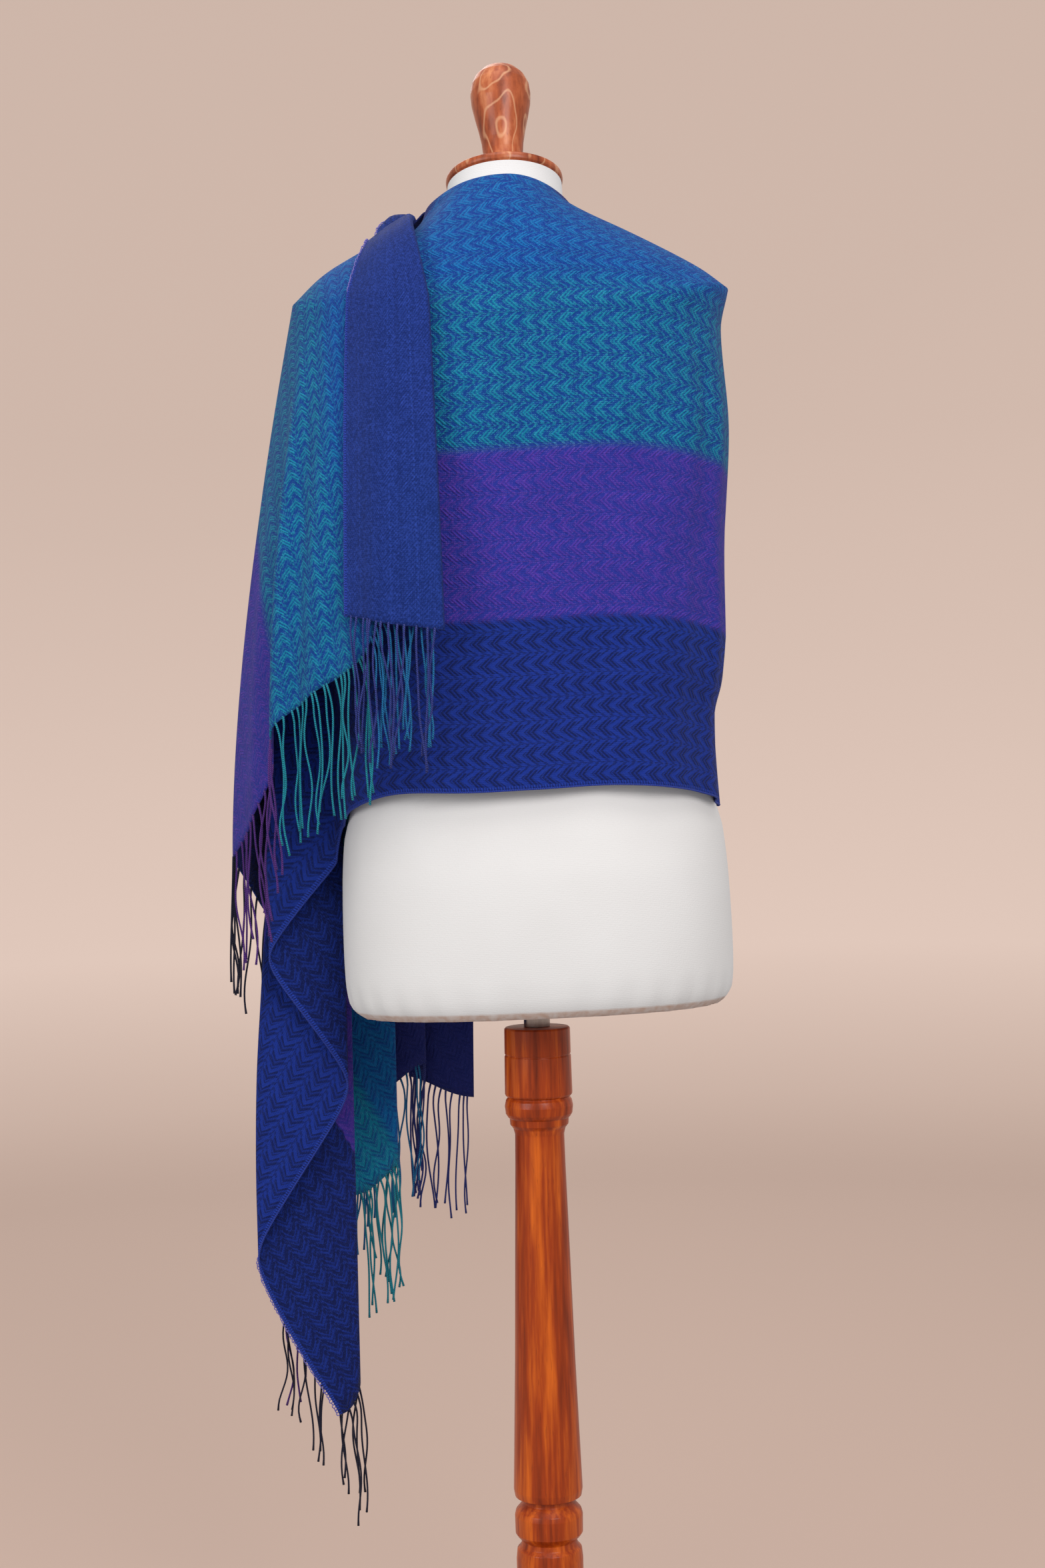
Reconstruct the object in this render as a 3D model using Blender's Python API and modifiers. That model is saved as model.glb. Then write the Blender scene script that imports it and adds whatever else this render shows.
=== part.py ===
"""A long striped shawl wrapped round a limbless dress form that stands on a turned wooden post.

Metres, +Z up. The origin is on the floor under the post. The form's back faces -Y and its right shoulder
is at +X. One end of the shawl is thrown over the left shoulder and hangs down the back, and the other
end hangs in a cascade of folds at the left side. Azimuths run from the back (0) by the right side (90)
to the front (180) and the left side (270).
"""

import math
from collections import namedtuple

import bmesh
import bpy
from mathutils import Vector

# Driving dimensions of the cloth
CLOTH = 0.0016  # thickness of the woven wall
SEAM = 0.0003  # gap between solids that touch
SEAM_SIDE = 0.0004  # how far a stretch of the shawl ends before the seam with the next
FRINGE_LENGTH = 0.118
STRAND = 0.0021  # width of a twisted fringe strand
BACKING = 0.0040  # height of the strip that a fringe's strands grow from
FRINGE_GAP = 0.0008  # how far below the cloth's edge that strip begins
STRAND_STEPS = (0.15, 0.55, 1.0)
STRAND_BEND = 0.0012
STRAND_UNEVEN = 0.07  # share by which a strand may be longer or shorter
EDGE_REACH = 0.3  # in grid columns, how far to both sides the edge's own direction is read
LAYER = 0.0055  # distance between the middles of two layers that lie on each other
LAP = 0.0072  # how far the first layer lies inside the last, where the shawl laps over itself

# The form leans a little to its left on the post, so its axis moves by LEAN for each metre of height.
LEAN = 0.02
LEAN_BASE_Z = 0.95

# The form: a padded torso on a rod
Section = namedtuple("Section", "z half_width back_depth front_depth squareness")
FORM_SECTIONS = [
    Section(0.7435, 0.1480, 0.0900, 0.0860, 2.5),
    Section(0.7450, 0.1620, 0.1040, 0.1000, 2.5),
    Section(0.7530, 0.1725, 0.1130, 0.1090, 2.5),
    Section(0.7750, 0.1770, 0.1180, 0.1130, 2.5),
    Section(0.8200, 0.1775, 0.1190, 0.1140, 2.5),
    Section(0.8700, 0.1760, 0.1170, 0.1130, 2.5),
    Section(0.9050, 0.1730, 0.1120, 0.1110, 2.5),
    Section(0.9250, 0.1680, 0.1080, 0.1100, 2.5),
    Section(0.9450, 0.1645, 0.1050, 0.1090, 2.5),
    Section(0.9900, 0.1600, 0.1010, 0.1080, 2.5),
    Section(1.0700, 0.1590, 0.0980, 0.1080, 2.5),
    Section(1.1700, 0.1680, 0.1020, 0.1150, 2.5),
    Section(1.2600, 0.1750, 0.1080, 0.1230, 2.5),
    Section(1.3300, 0.1780, 0.1040, 0.1130, 2.5),
    Section(1.3700, 0.1810, 0.0960, 0.0950, 2.4),
    Section(1.3900, 0.1780, 0.0880, 0.0830, 2.3),
    Section(1.4050, 0.1650, 0.0800, 0.0750, 2.2),
    Section(1.4200, 0.1360, 0.0730, 0.0680, 2.1),
    Section(1.4350, 0.1020, 0.0660, 0.0610, 2.0),
    Section(1.4500, 0.0640, 0.0570, 0.0550, 2.0),
    Section(1.4620, 0.0545, 0.0535, 0.0530, 2.0),
    Section(1.4750, 0.0535, 0.0530, 0.0530, 2.0),
    Section(1.5015, 0.0528, 0.0528, 0.0528, 2.0),
]
FORM_RINGS = 17
FORM_SIDES = 28
NECK_START_Z = 1.45
NECK_TOP_Z = 1.5015
NECK_FORWARD = 0.012  # how far the top of the neck stands in front of the axis
WRAP_FORWARD = 0.005  # and how far the cloth round it does
NECK_TILT = math.radians(11)

# The wrap: the cloth round neck, shoulders and torso
Ring = namedtuple(
    "Ring", "name z_back z_right z_left z_front right_width left_width back_depth front_depth squareness"
)
RINGS = [
    Ring("tuck", 1.481, 1.464, 1.470, 1.448, 0.0585, 0.0680, 0.0580, 0.0650, 2.0),
    Ring("neck", 1.4935, 1.473, 1.479, 1.458, 0.0610, 0.0735, 0.0610, 0.0690, 2.0),
    Ring("collar", 1.4825, 1.462, 1.468, 1.446, 0.0710, 0.0860, 0.0700, 0.0790, 2.0),
    Ring("slope", 1.447, 1.444, 1.448, 1.415, 0.1150, 0.1170, 0.0900, 0.0980, 2.1),
    Ring("blade", 1.405, 1.412, 1.420, 1.375, 0.1720, 0.1680, 0.1060, 0.1140, 2.3),
    Ring("shoulder", 1.365, 1.391, 1.393, 1.335, 0.1990, 0.1980, 0.1150, 0.1230, 2.5),
]
COLLAR_RING = 2
SHOULDER_RING = len(RINGS) - 1
SHOULDER_SETTLE = 0.5  # share of the way down by which the wrap has left the shoulder's own width
TUCKED_RING, HANG_RING = 0.6, 2.6  # between these the first layer comes to lie inside the last
INSET_LOW_Z, INSET_FULL_Z = 0.96, 1.12  # and between these heights it comes back to the last layer's place
LAP_FROM, LAP_FULL = -25.0, -60.0  # azimuths of the back between which the first layer moves inside
SIDE_FROM = 246.0  # azimuth from which the front follows the side line more and more
RING_STOPS = (0.0, 0.6, 1.3, 2.1, 2.9, 3.6, 4.3, 5.0)  # the wrap's rows above the shoulder
ROWS_BELOW = 10  # and below it
FRONT_START, FRONT_END = 122.0, 270.0  # azimuths of the front panel
BACK_START, BACK_END = -86.0, 62.0  # and of the back panel
BACK_COLUMNS = 18
RIGHT_COLUMNS = 8
FRONT_COLUMNS = 21
FALL_COLUMNS, FALL_ROWS = 18, 13
STRIP_COLUMNS, STRIP_ROWS = 6, 15
HANG_COLUMNS = 39
FRINGED_FROM = 250.0  # azimuth where the fringed end meets the long edge

Girth = namedtuple("Girth", "z half_width back_depth front_depth")
GIRTHS = [
    Girth(1.396, 0.1990, 0.1150, 0.1230),
    Girth(1.360, 0.1905, 0.1185, 0.1290),
    Girth(1.270, 0.1940, 0.1210, 0.1350),
    Girth(1.176, 0.1870, 0.1170, 0.1320),
    Girth(1.078, 0.1835, 0.1150, 0.1290),
    Girth(1.040, 0.1780, 0.1160, 0.1290),
    Girth(1.012, 0.1700, 0.1170, 0.1290),
    Girth(0.930, 0.1715, 0.1220, 0.1330),
    Girth(0.820, 0.1780, 0.1250, 0.1350),
]
GIRTH_SQUARENESS = 2.5

# The cloth stands away from the body towards the left side, where the thrown end pulls it out.
FLARE = 0.104
FLARE_FROM, FLARE_TO = 150.0, 255.0  # azimuths
FLARE_TOP_Z, FLARE_LOW_Z = 1.40, 0.88
FLARE_CURVE = 1.3
FLARE_END_FROM, FLARE_END_TO = 272.0, 300.0  # azimuths where it lies close again, under the thrown end

# Height of the lower edge round the wrap
Hem = namedtuple("Hem", "azimuth z")
HEMS = [
    Hem(-86, 0.916),
    Hem(-70, 0.930),
    Hem(-40, 0.944),
    Hem(-10, 0.944),
    Hem(20, 0.948),
    Hem(50, 0.942),
    Hem(75, 0.932),
    Hem(92, 0.926),
    Hem(120, 0.928),
    Hem(160, 0.926),
    Hem(200, 0.902),
    Hem(230, 0.862),
    Hem(249, 0.825),
    Hem(260, 0.856),
    Hem(270, 0.889),
]

# Soft folds pressed into the wrap: where, how far out, how wide, and between which heights
FOLD_FADE = 0.45  # share of a fold's height over which it comes in
Fold = namedtuple("Fold", "azimuth depth width top_z low_z")
FOLDS = [
    Fold(-20, 0.0030, 9, 1.30, 0.93),
    Fold(14, -0.0035, 10, 1.12, 0.93),
    Fold(34, 0.0030, 8, 1.30, 0.93),
    Fold(66, 0.0035, 6, 1.40, 1.02),
    Fold(80, -0.0040, 5, 1.20, 0.97),
    Fold(104, 0.0045, 6, 1.38, 0.93),
    Fold(122, -0.0045, 6, 1.40, 0.93),
    Fold(142, 0.0055, 7, 1.40, 0.93),
    Fold(160, -0.0050, 7, 1.40, 0.93),
    Fold(178, 0.0070, 7, 1.42, 0.91),
    Fold(196, -0.0060, 6, 1.42, 0.90),
    Fold(212, 0.0090, 6, 1.42, 0.87),
    Fold(226, -0.0080, 5, 1.40, 0.85),
    Fold(240, 0.0080, 5, 1.38, 0.83),
    Fold(255, -0.0050, 5, 1.36, 0.83),
]

# The end thrown over the left shoulder: lines that run from the shoulder ridge down to the fringed edge.
# ridge_share is where a line crosses the ridge (0 by the neck, 1 at the shoulder point), shoulder_x is how
# far out it leaves the shoulder, and drop says how soon it hangs straight: the larger, the sooner.
Fall = namedtuple("Fall", "name ridge_share shoulder_x edge_x edge_y edge_z drop")
FALLS = [
    Fall("fold", 0.00, -0.0700, -0.0745, -0.1480, 1.101, 1.2),
    Fall("azure", 0.20, -0.1050, -0.1200, -0.1520, 1.098, 1.2),
    Fall("teal", 0.36, -0.1290, -0.1420, -0.1500, 1.060, 1.3),
    Fall("teal hollow", 0.58, -0.1570, -0.1800, -0.1340, 1.035, 1.4),
    Fall("crest", 0.78, -0.1790, -0.2150, -0.1100, 1.004, 1.5),
    Fall("purple", 0.92, -0.1940, -0.2440, -0.0600, 0.932, 1.6),
    Fall("side", 1.00, -0.1980, -0.2750, 0.0000, 0.889, 1.6),
]
FOLD_RING = 2.06  # where the folded edge crosses the ridge, counted in rows of RINGS
CREST_LINE = 4
CREST_DEPTH = 0.006
CREST_WIDTH = 0.35  # in lines
CREST_WAY = Vector((-0.75, -0.66, 0.0))
PATH_STEPS = 12
STRIP_LINES = 2.33  # the folded edge covers the fall as far as this line
STRIP_FRONT = 34.0  # how far, in degrees, the folded edge runs on past the ridge
STRIP_FRONT_RINGS = 0.5  # how far it moves out there, counted in rows of RINGS
STRIP_FRONT_DRAW = 0.35  # how far its outer lines are drawn together there
STRIP_EDGE_Z = (1.082, 1.0955)  # height of its lower edge at the fold and at the selvedge
STRIP_FRONT_LIFT = 0.006
STRIP_FRONT_STEPS = 8
STRIP_TURN = (82.0, 125.0)  # directions, in degrees, in which the fold turns over
STRIP_SWELL = 0.002  # how far its middle stands off the fall
LOOP_SPAN = 1.25
LOOP_SPREAD = 0.7  # below 1, the raised selvedge's lift reaches further in from the edge
LOOP_HEIGHT = 0.018  # how far its selvedge stands up where it crosses the ridge

# Fringes of the thrown end: first and last count FALLS
FallFringe = namedtuple("FallFringe", "name first last strands colour sway")
FALL_FRINGES = [
    FallFringe("fringe_fall_purple", 4.08, 5.92, 10, "purple", 0.004),
    FallFringe("fringe_fall_teal", 1.75, 3.95, 16, "teal", 0.0),
    FallFringe("fringe_fall_azure", 0.08, 1.65, 11, "azure", 0.0),
]
FRONT_STRANDS = 8
STRIP_STRANDS = 12
STRIP_FRINGE = (2.1, STRIP_COLUMNS + 1.95)  # first and last column of the folded edge's fringe
FRONT_FRINGE_END = FRONT_COLUMNS - 0.1

# The hanging end: its fold lines, one after another from the seam with the back panel
Pleat = namedtuple("Pleat", "name x y edge_z")
PLEATS = [
    Pleat("side seam", -0.1780, -0.0110, 0.916),
    Pleat("first right", -0.1790, 0.0020, 0.885),
    Pleat("first left", -0.2460, 0.0160, 0.794),
    Pleat("second right", -0.1780, 0.0340, 0.671),
    Pleat("second left", -0.2672, 0.0520, 0.511),
    Pleat("tip", -0.1960, 0.0660, 0.356),
    Pleat("third right", -0.1800, 0.0800, 0.388),
    Pleat("third left", -0.2480, 0.0920, 0.469),
    Pleat("fourth right", -0.1820, 0.1050, 0.556),
    Pleat("teal right", -0.1380, 0.1160, 0.585),
    Pleat("azure left", -0.1780, 0.1320, 0.630),
    Pleat("azure right", -0.1120, 0.1480, 0.677),
    Pleat("last left", -0.1260, 0.1630, 0.662),
    Pleat("selvedge", -0.0640, 0.1660, 0.640),
]
HangFringe = namedtuple("HangFringe", "name first last strands colour")  # first and last count PLEATS
HANG_FRINGES = [
    HangFringe("fringe_tip_navy", 5.26, 5.60, 2, "navy"),
    HangFringe("fringe_side_navy", 6.14, 6.74, 9, "navy"),
    HangFringe("fringe_side_purple", 7.26, 7.86, 7, "purple"),
    HangFringe("fringe_outer_teal", 8.15, 8.85, 7, "teal"),
    HangFringe("fringe_inner_teal", 9.18, 9.50, 3, "teal"),
    HangFringe("fringe_inner_azure", 9.58, 9.82, 2, "azure"),
    HangFringe("fringe_outer_azure", 10.12, 10.88, 8, "azure"),
    HangFringe("fringe_inner_violet", 11.30, 11.70, 2, "violet"),
    HangFringe("fringe_outer_violet", 12.12, 12.94, 11, "violet"),
]
HANG_FREE_Z = 0.935  # from the form's shoulder down to this height the folds open out
HANG_LOW_Z = 0.60  # below this height they hang where the table says
HANG_TOP_AZIMUTHS = (BACK_START, -186.0)
HANG_FIRST_ROW = 4  # the hidden upper edge, counted in RING_STOPS
SHARE_LIMITS = (0.14, 0.84)  # nearest to the form and nearest to the wrap that a covered fold comes
SEARCH_REACH = 45.0  # degrees either way in which a surface's place in a direction is looked for
SEARCH_STEPS = 22

# The stand, as turned profiles of (radius, height)
POST_PROFILE = [
    (0.0000, 0.7270), (0.0290, 0.7270), (0.0302, 0.7255), (0.0304, 0.7030), (0.0298, 0.7022),
    (0.0298, 0.7014), (0.0305, 0.7006), (0.0310, 0.6660), (0.0300, 0.6642), (0.0282, 0.6630),
    (0.0302, 0.6605), (0.0314, 0.6550), (0.0306, 0.6480), (0.0286, 0.6448), (0.0272, 0.6436),
    (0.0268, 0.6380), (0.0240, 0.6345), (0.0226, 0.6290), (0.0231, 0.6000), (0.0250, 0.5300),
    (0.0278, 0.4200), (0.0304, 0.3400), (0.0316, 0.3040), (0.0305, 0.2975), (0.0235, 0.2955),
    (0.0238, 0.2915), (0.0300, 0.2845), (0.0312, 0.2800), (0.0310, 0.2640), (0.0290, 0.2610),
    (0.0252, 0.2570), (0.0262, 0.2525), (0.0296, 0.2490), (0.0306, 0.2400), (0.0304, 0.1500),
    (0.0245, 0.1420), (0.0245, 0.1050), (0.0305, 0.0740), (0.0280, 0.0660), (0.0280, 0.0503),
    (0.0000, 0.0503),
]
BASE_PROFILE = [
    (0.0000, 0.0500), (0.0420, 0.0500), (0.0450, 0.0480), (0.0470, 0.0420), (0.0600, 0.0360),
    (0.1000, 0.0325), (0.1750, 0.0290), (0.1860, 0.0250), (0.1900, 0.0180), (0.1900, 0.0060),
    (0.1860, 0.0000), (0.0000, 0.0000),
]
ROD_RADIUS = 0.0120
CAP_PROFILE = [
    (0.0000, 0.1214), (0.0088, 0.1199), (0.0168, 0.1158), (0.0232, 0.1092), (0.0270, 0.1010),
    (0.0280, 0.0922), (0.0273, 0.0820), (0.0248, 0.0695), (0.0217, 0.0560), (0.0194, 0.0435),
    (0.0185, 0.0330), (0.0188, 0.0175), (0.0215, 0.0120), (0.0215, 0.0098), (0.0510, 0.0094),
    (0.0536, 0.0078), (0.0541, 0.0050), (0.0536, 0.0022), (0.0515, 0.0004), (0.0000, 0.0004),
]
TURN_STEPS = 18
BASE_STEPS = 28

ROYAL = (0.020, 0.050, 0.350)
COLOURS = {
    "royal": ROYAL,
    "teal": (0.005, 0.330, 0.340),
    "azure": (0.020, 0.240, 0.560),
    "violet": (0.060, 0.075, 0.350),
    "purple": (0.130, 0.050, 0.330),
    "navy": (0.006, 0.007, 0.035),
    "cover": (0.800, 0.780, 0.760),
    "wood": (0.330, 0.090, 0.018),
    "steel": (0.420, 0.420, 0.400),
}


def clear_scene():
    for leftover in list(bpy.data.objects):
        bpy.data.objects.remove(leftover, do_unlink=True)


def material(name, roughness=0.85, metallic=0.0):
    """The material of that colour, made at its first use."""
    found = bpy.data.materials.get(name)
    if found:
        return found
    made = bpy.data.materials.new(name)
    made.use_nodes = True
    shader = made.node_tree.nodes["Principled BSDF"]
    shader.inputs["Base Color"].default_value = (*COLOURS[name], 1.0)
    shader.inputs["Roughness"].default_value = roughness
    shader.inputs["Metallic"].default_value = metallic
    return made


def add_object(name, mesh, look):
    mesh.materials.append(look)
    obj = bpy.data.objects.new(name, mesh)
    PARTS.objects.link(obj)
    return obj


def smoothstep(low, high, value):
    share = min(1.0, max(0.0, (value - low) / (high - low)))
    return share * share * (3.0 - 2.0 * share)


def level_ended(share):
    """A step from 0 to 1 that stays level for a while at both ends."""
    return share**3 * (share * (share * 6.0 - 15.0) + 10.0)


def mix(a, b, share):
    return a + (b - a) * share


def spline(values, at):
    """The value at that place, counted in rows, on a smooth curve through all the values."""
    last = len(values) - 1
    i = min(max(int(at), 0), last - 1)
    t = at - i
    p1, p2 = values[i], values[i + 1]
    p0 = values[i - 1] if i > 0 else p1 + (p1 - p2)
    p3 = values[i + 2] if i + 2 <= last else p2 + (p2 - p1)
    square = (p0 * 2 - p1 * 5 + p2 * 4 - p3) * t**2
    cube = (p1 * 3 - p0 - p2 * 3 + p3) * t**3
    return (p1 * 2 + (p2 - p0) * t + square + cube) * 0.5


def place_in(rows, column, value):
    """Where a value lies among the rows of a table whose column rises or falls all the way."""
    keys = [getattr(row, column) for row in rows]
    rising = keys[-1] > keys[0]
    value = min(max(value, min(keys)), max(keys))
    for i in range(len(keys) - 1):
        low, high = keys[i], keys[i + 1]
        if (low <= value <= high) if rising else (high <= value <= low):
            return i + (value - low) / (high - low)
    return len(keys) - 1.0


def looked_up(rows, key, value, column):
    return spline([getattr(row, column) for row in rows], place_in(rows, key, value))


def along(points, at):
    """The point at that place, counted in points, on the straight stretches between them."""
    i = min(max(int(at), 0), len(points) - 2)
    return points[i].lerp(points[i + 1], at - i)


def evenly(points, count):
    """That many even steps along a path, measured on the path."""
    lengths = [0.0]
    for a, b in zip(points, points[1:]):
        lengths.append(lengths[-1] + (b - a).length)
    steps = []
    i = 0
    for k in range(count + 1):
        wanted = lengths[-1] * k / count
        while i < len(points) - 2 and lengths[i + 1] < wanted:
            i += 1
        span = max(lengths[i + 1] - lengths[i], 1e-9)
        steps.append(points[i].lerp(points[i + 1], min(1.0, (wanted - lengths[i]) / span)))
    return steps


def axis_x(z):
    return -LEAN * (z - LEAN_BASE_Z)


def leaned(x, y, z):
    """A point given about the form's upright axis, moved to where the leaning form has it."""
    return Vector((axis_x(z) + x, y, z + LEAN * x))


def oval(azimuth, width, depth, squareness):
    """A point of a rounded oval: x to the right, y to the front."""
    turn = math.radians(azimuth)
    sine, cosine = math.sin(turn), math.cos(turn)
    power = 2.0 / squareness
    return (
        math.copysign(abs(sine) ** power, sine) * width,
        -math.copysign(abs(cosine) ** power, cosine) * depth,
    )


def form_point(azimuth, z):
    """A point on the form's surface."""
    at = place_in(FORM_SECTIONS, "z", z)
    width, back, front, squareness = (
        spline([getattr(s, c) for s in FORM_SECTIONS], at)
        for c in ("half_width", "back_depth", "front_depth", "squareness")
    )
    x, y = oval(azimuth, width, back if math.cos(math.radians(azimuth)) > 0 else front, squareness)
    neck = smoothstep(NECK_START_Z, NECK_TOP_Z, z)
    point = leaned(x, y, z)
    point.z -= neck * math.tan(NECK_TILT) * y
    point.y += neck * NECK_FORWARD
    return point


def flare(azimuth, z):
    """How far the wrap stands away from the body."""
    height = min(1.0, max(0.0, (z - FLARE_LOW_Z) / (FLARE_TOP_Z - FLARE_LOW_Z)))
    turn = azimuth % 360.0
    opening = smoothstep(FLARE_FROM, FLARE_TO, turn) * smoothstep(FLARE_END_TO, FLARE_END_FROM, turn)
    return FLARE * opening * (1.0 - height**FLARE_CURVE)


def folded(azimuth, z):
    """How far the soft folds press the wrap out at a place."""
    total = 0.0
    turn = (azimuth + 90.0) % 360.0 - 90.0
    for fold in FOLDS:
        span = (turn - fold.azimuth) / fold.width
        fade = smoothstep(fold.top_z, mix(fold.top_z, fold.low_z, FOLD_FADE), z)
        total += fold.depth * math.exp(-span * span) * fade
    return total


def under(azimuth):
    """How far the first layer lies inside the last at an azimuth of the back."""
    return LAP * smoothstep(LAP_FROM, LAP_FULL, azimuth)


def ring_point(azimuth, ring, inset=0.0):
    """A point of the wrap above the shoulder, where ring counts the rows of RINGS."""
    turn = math.radians(azimuth)
    back = math.cos(turn) > 0
    column = {c: spline([getattr(r, c) for r in RINGS], ring) for c in Ring._fields[1:]}
    depth = column["back_depth"] if back else column["front_depth"]
    width = column["right_width"] if math.sin(turn) > 0 else column["left_width"]
    inset *= smoothstep(TUCKED_RING, HANG_RING, ring)
    x, y = oval(azimuth, width - inset, depth - inset, column["squareness"])
    side_z = column["z_right"] if math.sin(turn) > 0 else column["z_left"]
    z = mix(side_z, column["z_back"] if back else column["z_front"], math.cos(turn) ** 2)
    above = smoothstep(COLLAR_RING, 0.0, ring)
    return leaned(x, y + above * WRAP_FORWARD, z - inset)


def girth_point(azimuth, z, inset=0.0):
    """A point of the wrap below the shoulder. Where it is set in, it is the first layer and hangs plain."""
    width, back, front = (looked_up(GIRTHS, "z", z, c) for c in ("half_width", "back_depth", "front_depth"))
    depth = back if math.cos(math.radians(azimuth)) > 0 else front
    x, y = oval(azimuth, width, depth, GIRTH_SQUARENESS)
    loose = -inset * smoothstep(INSET_LOW_Z, INSET_FULL_Z, z) if inset else flare(azimuth, z)
    away = folded(azimuth, z) + loose
    out = Vector((x / width**2, y / depth**2, 0.0)).normalized() * away
    return Vector((axis_x(z) + x + out.x, y + out.y, z))


def side_path(edge):
    """The cloth's line at the left side: edge runs from 0 at the shoulder point to 1 at the lower edge."""
    fall = FALLS[-1]
    shoulder = ring_point(270.0, SHOULDER_RING)
    end = Vector((fall.edge_x, fall.edge_y, fall.edge_z))
    out = 1.0 - (1.0 - edge) ** fall.drop
    return Vector((mix(shoulder.x, end.x, out), mix(shoulder.y, end.y, out), mix(shoulder.z, end.z, edge)))


def wrap_line(azimuth, inset=0.0):
    """The wrap's profile at an azimuth, from inside the neck to the lower edge."""
    line = [ring_point(azimuth, ring, inset) for ring in RING_STOPS]
    shoulder = line[-1]
    edge_z = looked_up(HEMS, "azimuth", azimuth, "z")
    first = girth_point(azimuth, shoulder.z, inset)
    side = smoothstep(SIDE_FROM, FRONT_END, azimuth)
    for i in range(1, ROWS_BELOW + 1):
        share = i / ROWS_BELOW
        point = girth_point(azimuth, mix(shoulder.z, edge_z, share), inset)
        point = point + (shoulder - first) * (1.0 - smoothstep(0.0, SHOULDER_SETTLE, share))
        line.append(point.lerp(side_path(share), side))
    return line


def wrap_grid(start, end, columns):
    azimuths = [mix(start, end, i / columns) for i in range(columns + 1)]
    return [wrap_line(azimuth, under(azimuth)) for azimuth in azimuths]


def ring_row(ring):
    """Where a ring lies among the rows of the wrap."""
    i = max(k for k in range(len(RING_STOPS) - 1) if RING_STOPS[k] <= ring)
    return i + (ring - RING_STOPS[i]) / (RING_STOPS[i + 1] - RING_STOPS[i])


def fall_path(line):
    """A line of the thrown end, from the ridge to its fringed edge, as close points."""
    ridge = wrap_line(270.0)
    if line >= len(FALLS) - 1:
        return ridge[len(RING_STOPS) - 1:]
    columns = {c: spline([getattr(f, c) for f in FALLS], line) for c in Fall._fields[1:]}
    ring = mix(FOLD_RING, SHOULDER_RING, columns["ridge_share"])
    shift = along(ridge, ring_row(ring)) - ring_point(270.0, ring)
    path = []
    ridge_x = spline([r.left_width for r in RINGS], ring)
    for i in range(PATH_STEPS + 1):
        share = i / PATH_STEPS
        at = mix(ring, SHOULDER_RING, share)
        width, squareness = (spline([getattr(r, c) for r in RINGS], at) for c in ("left_width", "squareness"))
        reach = min(1.0, mix(ridge_x, -columns["shoulder_x"], share) / width)
        azimuth = -math.degrees(math.asin(reach ** (squareness / 2)))
        path.append(ring_point(azimuth, at, under(azimuth) - LAP) + shift * (1.0 - share))
    top = path[-1]
    edge = Vector((columns["edge_x"], columns["edge_y"], columns["edge_z"]))
    for i in range(1, PATH_STEPS + 1):
        down = i / PATH_STEPS
        out = 1.0 - (1.0 - down) ** columns["drop"]
        point = Vector((mix(top.x, edge.x, out), mix(top.y, edge.y, out), mix(top.z, edge.z, down)))
        crest = math.exp(-(((line - CREST_LINE) / CREST_WIDTH) ** 2)) * CREST_DEPTH
        path.append(point + CREST_WAY * crest * smoothstep(0.0, 0.5, down))
    return path


def fall_grid(columns, rows):
    last = len(FALLS) - 1
    return [evenly(fall_path(last * i / columns), rows) for i in range(columns + 1)]


def outward(grid, i, j):
    """The unit normal of a grid whose lines hang down and follow each other to the left as seen outside."""
    across = grid[min(i + 1, len(grid) - 1)][j] - grid[max(i - 1, 0)][j]
    down = grid[i][min(j + 1, len(grid[0]) - 1)] - grid[i][max(j - 1, 0)]
    return across.cross(down).normalized()


def strip_path(across):
    """A line of the folded edge: from the front over the ridge and down the fall, as close points."""
    line = STRIP_LINES * across
    ring = mix(FOLD_RING, SHOULDER_RING, spline([f.ridge_share for f in FALLS], line))
    front_ring = mix(FOLD_RING + STRIP_FRONT_RINGS, ring, STRIP_FRONT_DRAW)
    path = []
    for i in range(STRIP_FRONT_STEPS):
        share = 1.0 - i / STRIP_FRONT_STEPS
        point = ring_point(270.0 - STRIP_FRONT * share, mix(ring, front_ring, share))
        rise = math.sin(math.pi * min(1.0, share * LOOP_SPAN)) * LOOP_HEIGHT * across**LOOP_SPREAD
        point.z += rise + STRIP_FRONT_LIFT * smoothstep(0.0, 0.12, share)
        path.append(point)
    low = mix(*STRIP_EDGE_Z, across)
    down = fall_path(line)
    kept = [a for a in down if a.z > low or a.y > 0.0]
    last, after = down[len(kept) - 1], down[len(kept)] if len(kept) < len(down) else down[-1]
    span = max(last.z - after.z, 1e-6)
    return path + kept + [last.lerp(after, (last.z - low) / span)]


def strip_grid(columns, rows):
    """The folded edge: it turns over at the fall's fold line and lies on the fall."""
    base = [evenly(strip_path(i / columns), rows) for i in range(columns + 1)]
    grid = []
    for angle in (math.radians(degrees) for degrees in STRIP_TURN):
        line = []
        for j in range(rows + 1):
            normal = outward(base, 0, j)
            side = (base[0][j] - base[1][j]).normalized()
            turn = normal * (LAYER / 2 * (1.0 - math.cos(angle))) + side * (LAYER / 2 * math.sin(angle))
            line.append(base[0][j] + turn)
        grid.append(line)
    for i in range(columns + 1):
        swell = STRIP_SWELL * math.sin(math.pi * i / columns)
        grid.append([base[i][j] + outward(base, i, j) * (LAYER + swell) for j in range(rows + 1)])
    return grid


def plan_angle(point, centre_x):
    """The direction of a point as seen from above the form's axis, from the back (0) by the left to -270."""
    angle = math.degrees(math.atan2(point.x - centre_x, -point.y))
    return angle - 360.0 if angle > 90.0 else angle


def plan_radius(surface, angle, z):
    """How far from the axis a surface lies in a direction, at a height."""
    centre_x = axis_x(z)
    low, high = angle - SEARCH_REACH, angle + SEARCH_REACH
    for _ in range(SEARCH_STEPS):
        middle = (low + high) / 2
        if plan_angle(surface(middle, z), centre_x) < angle:
            low = middle
        else:
            high = middle
    point = surface(low, z)
    return math.hypot(point.x - centre_x, point.y)


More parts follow.
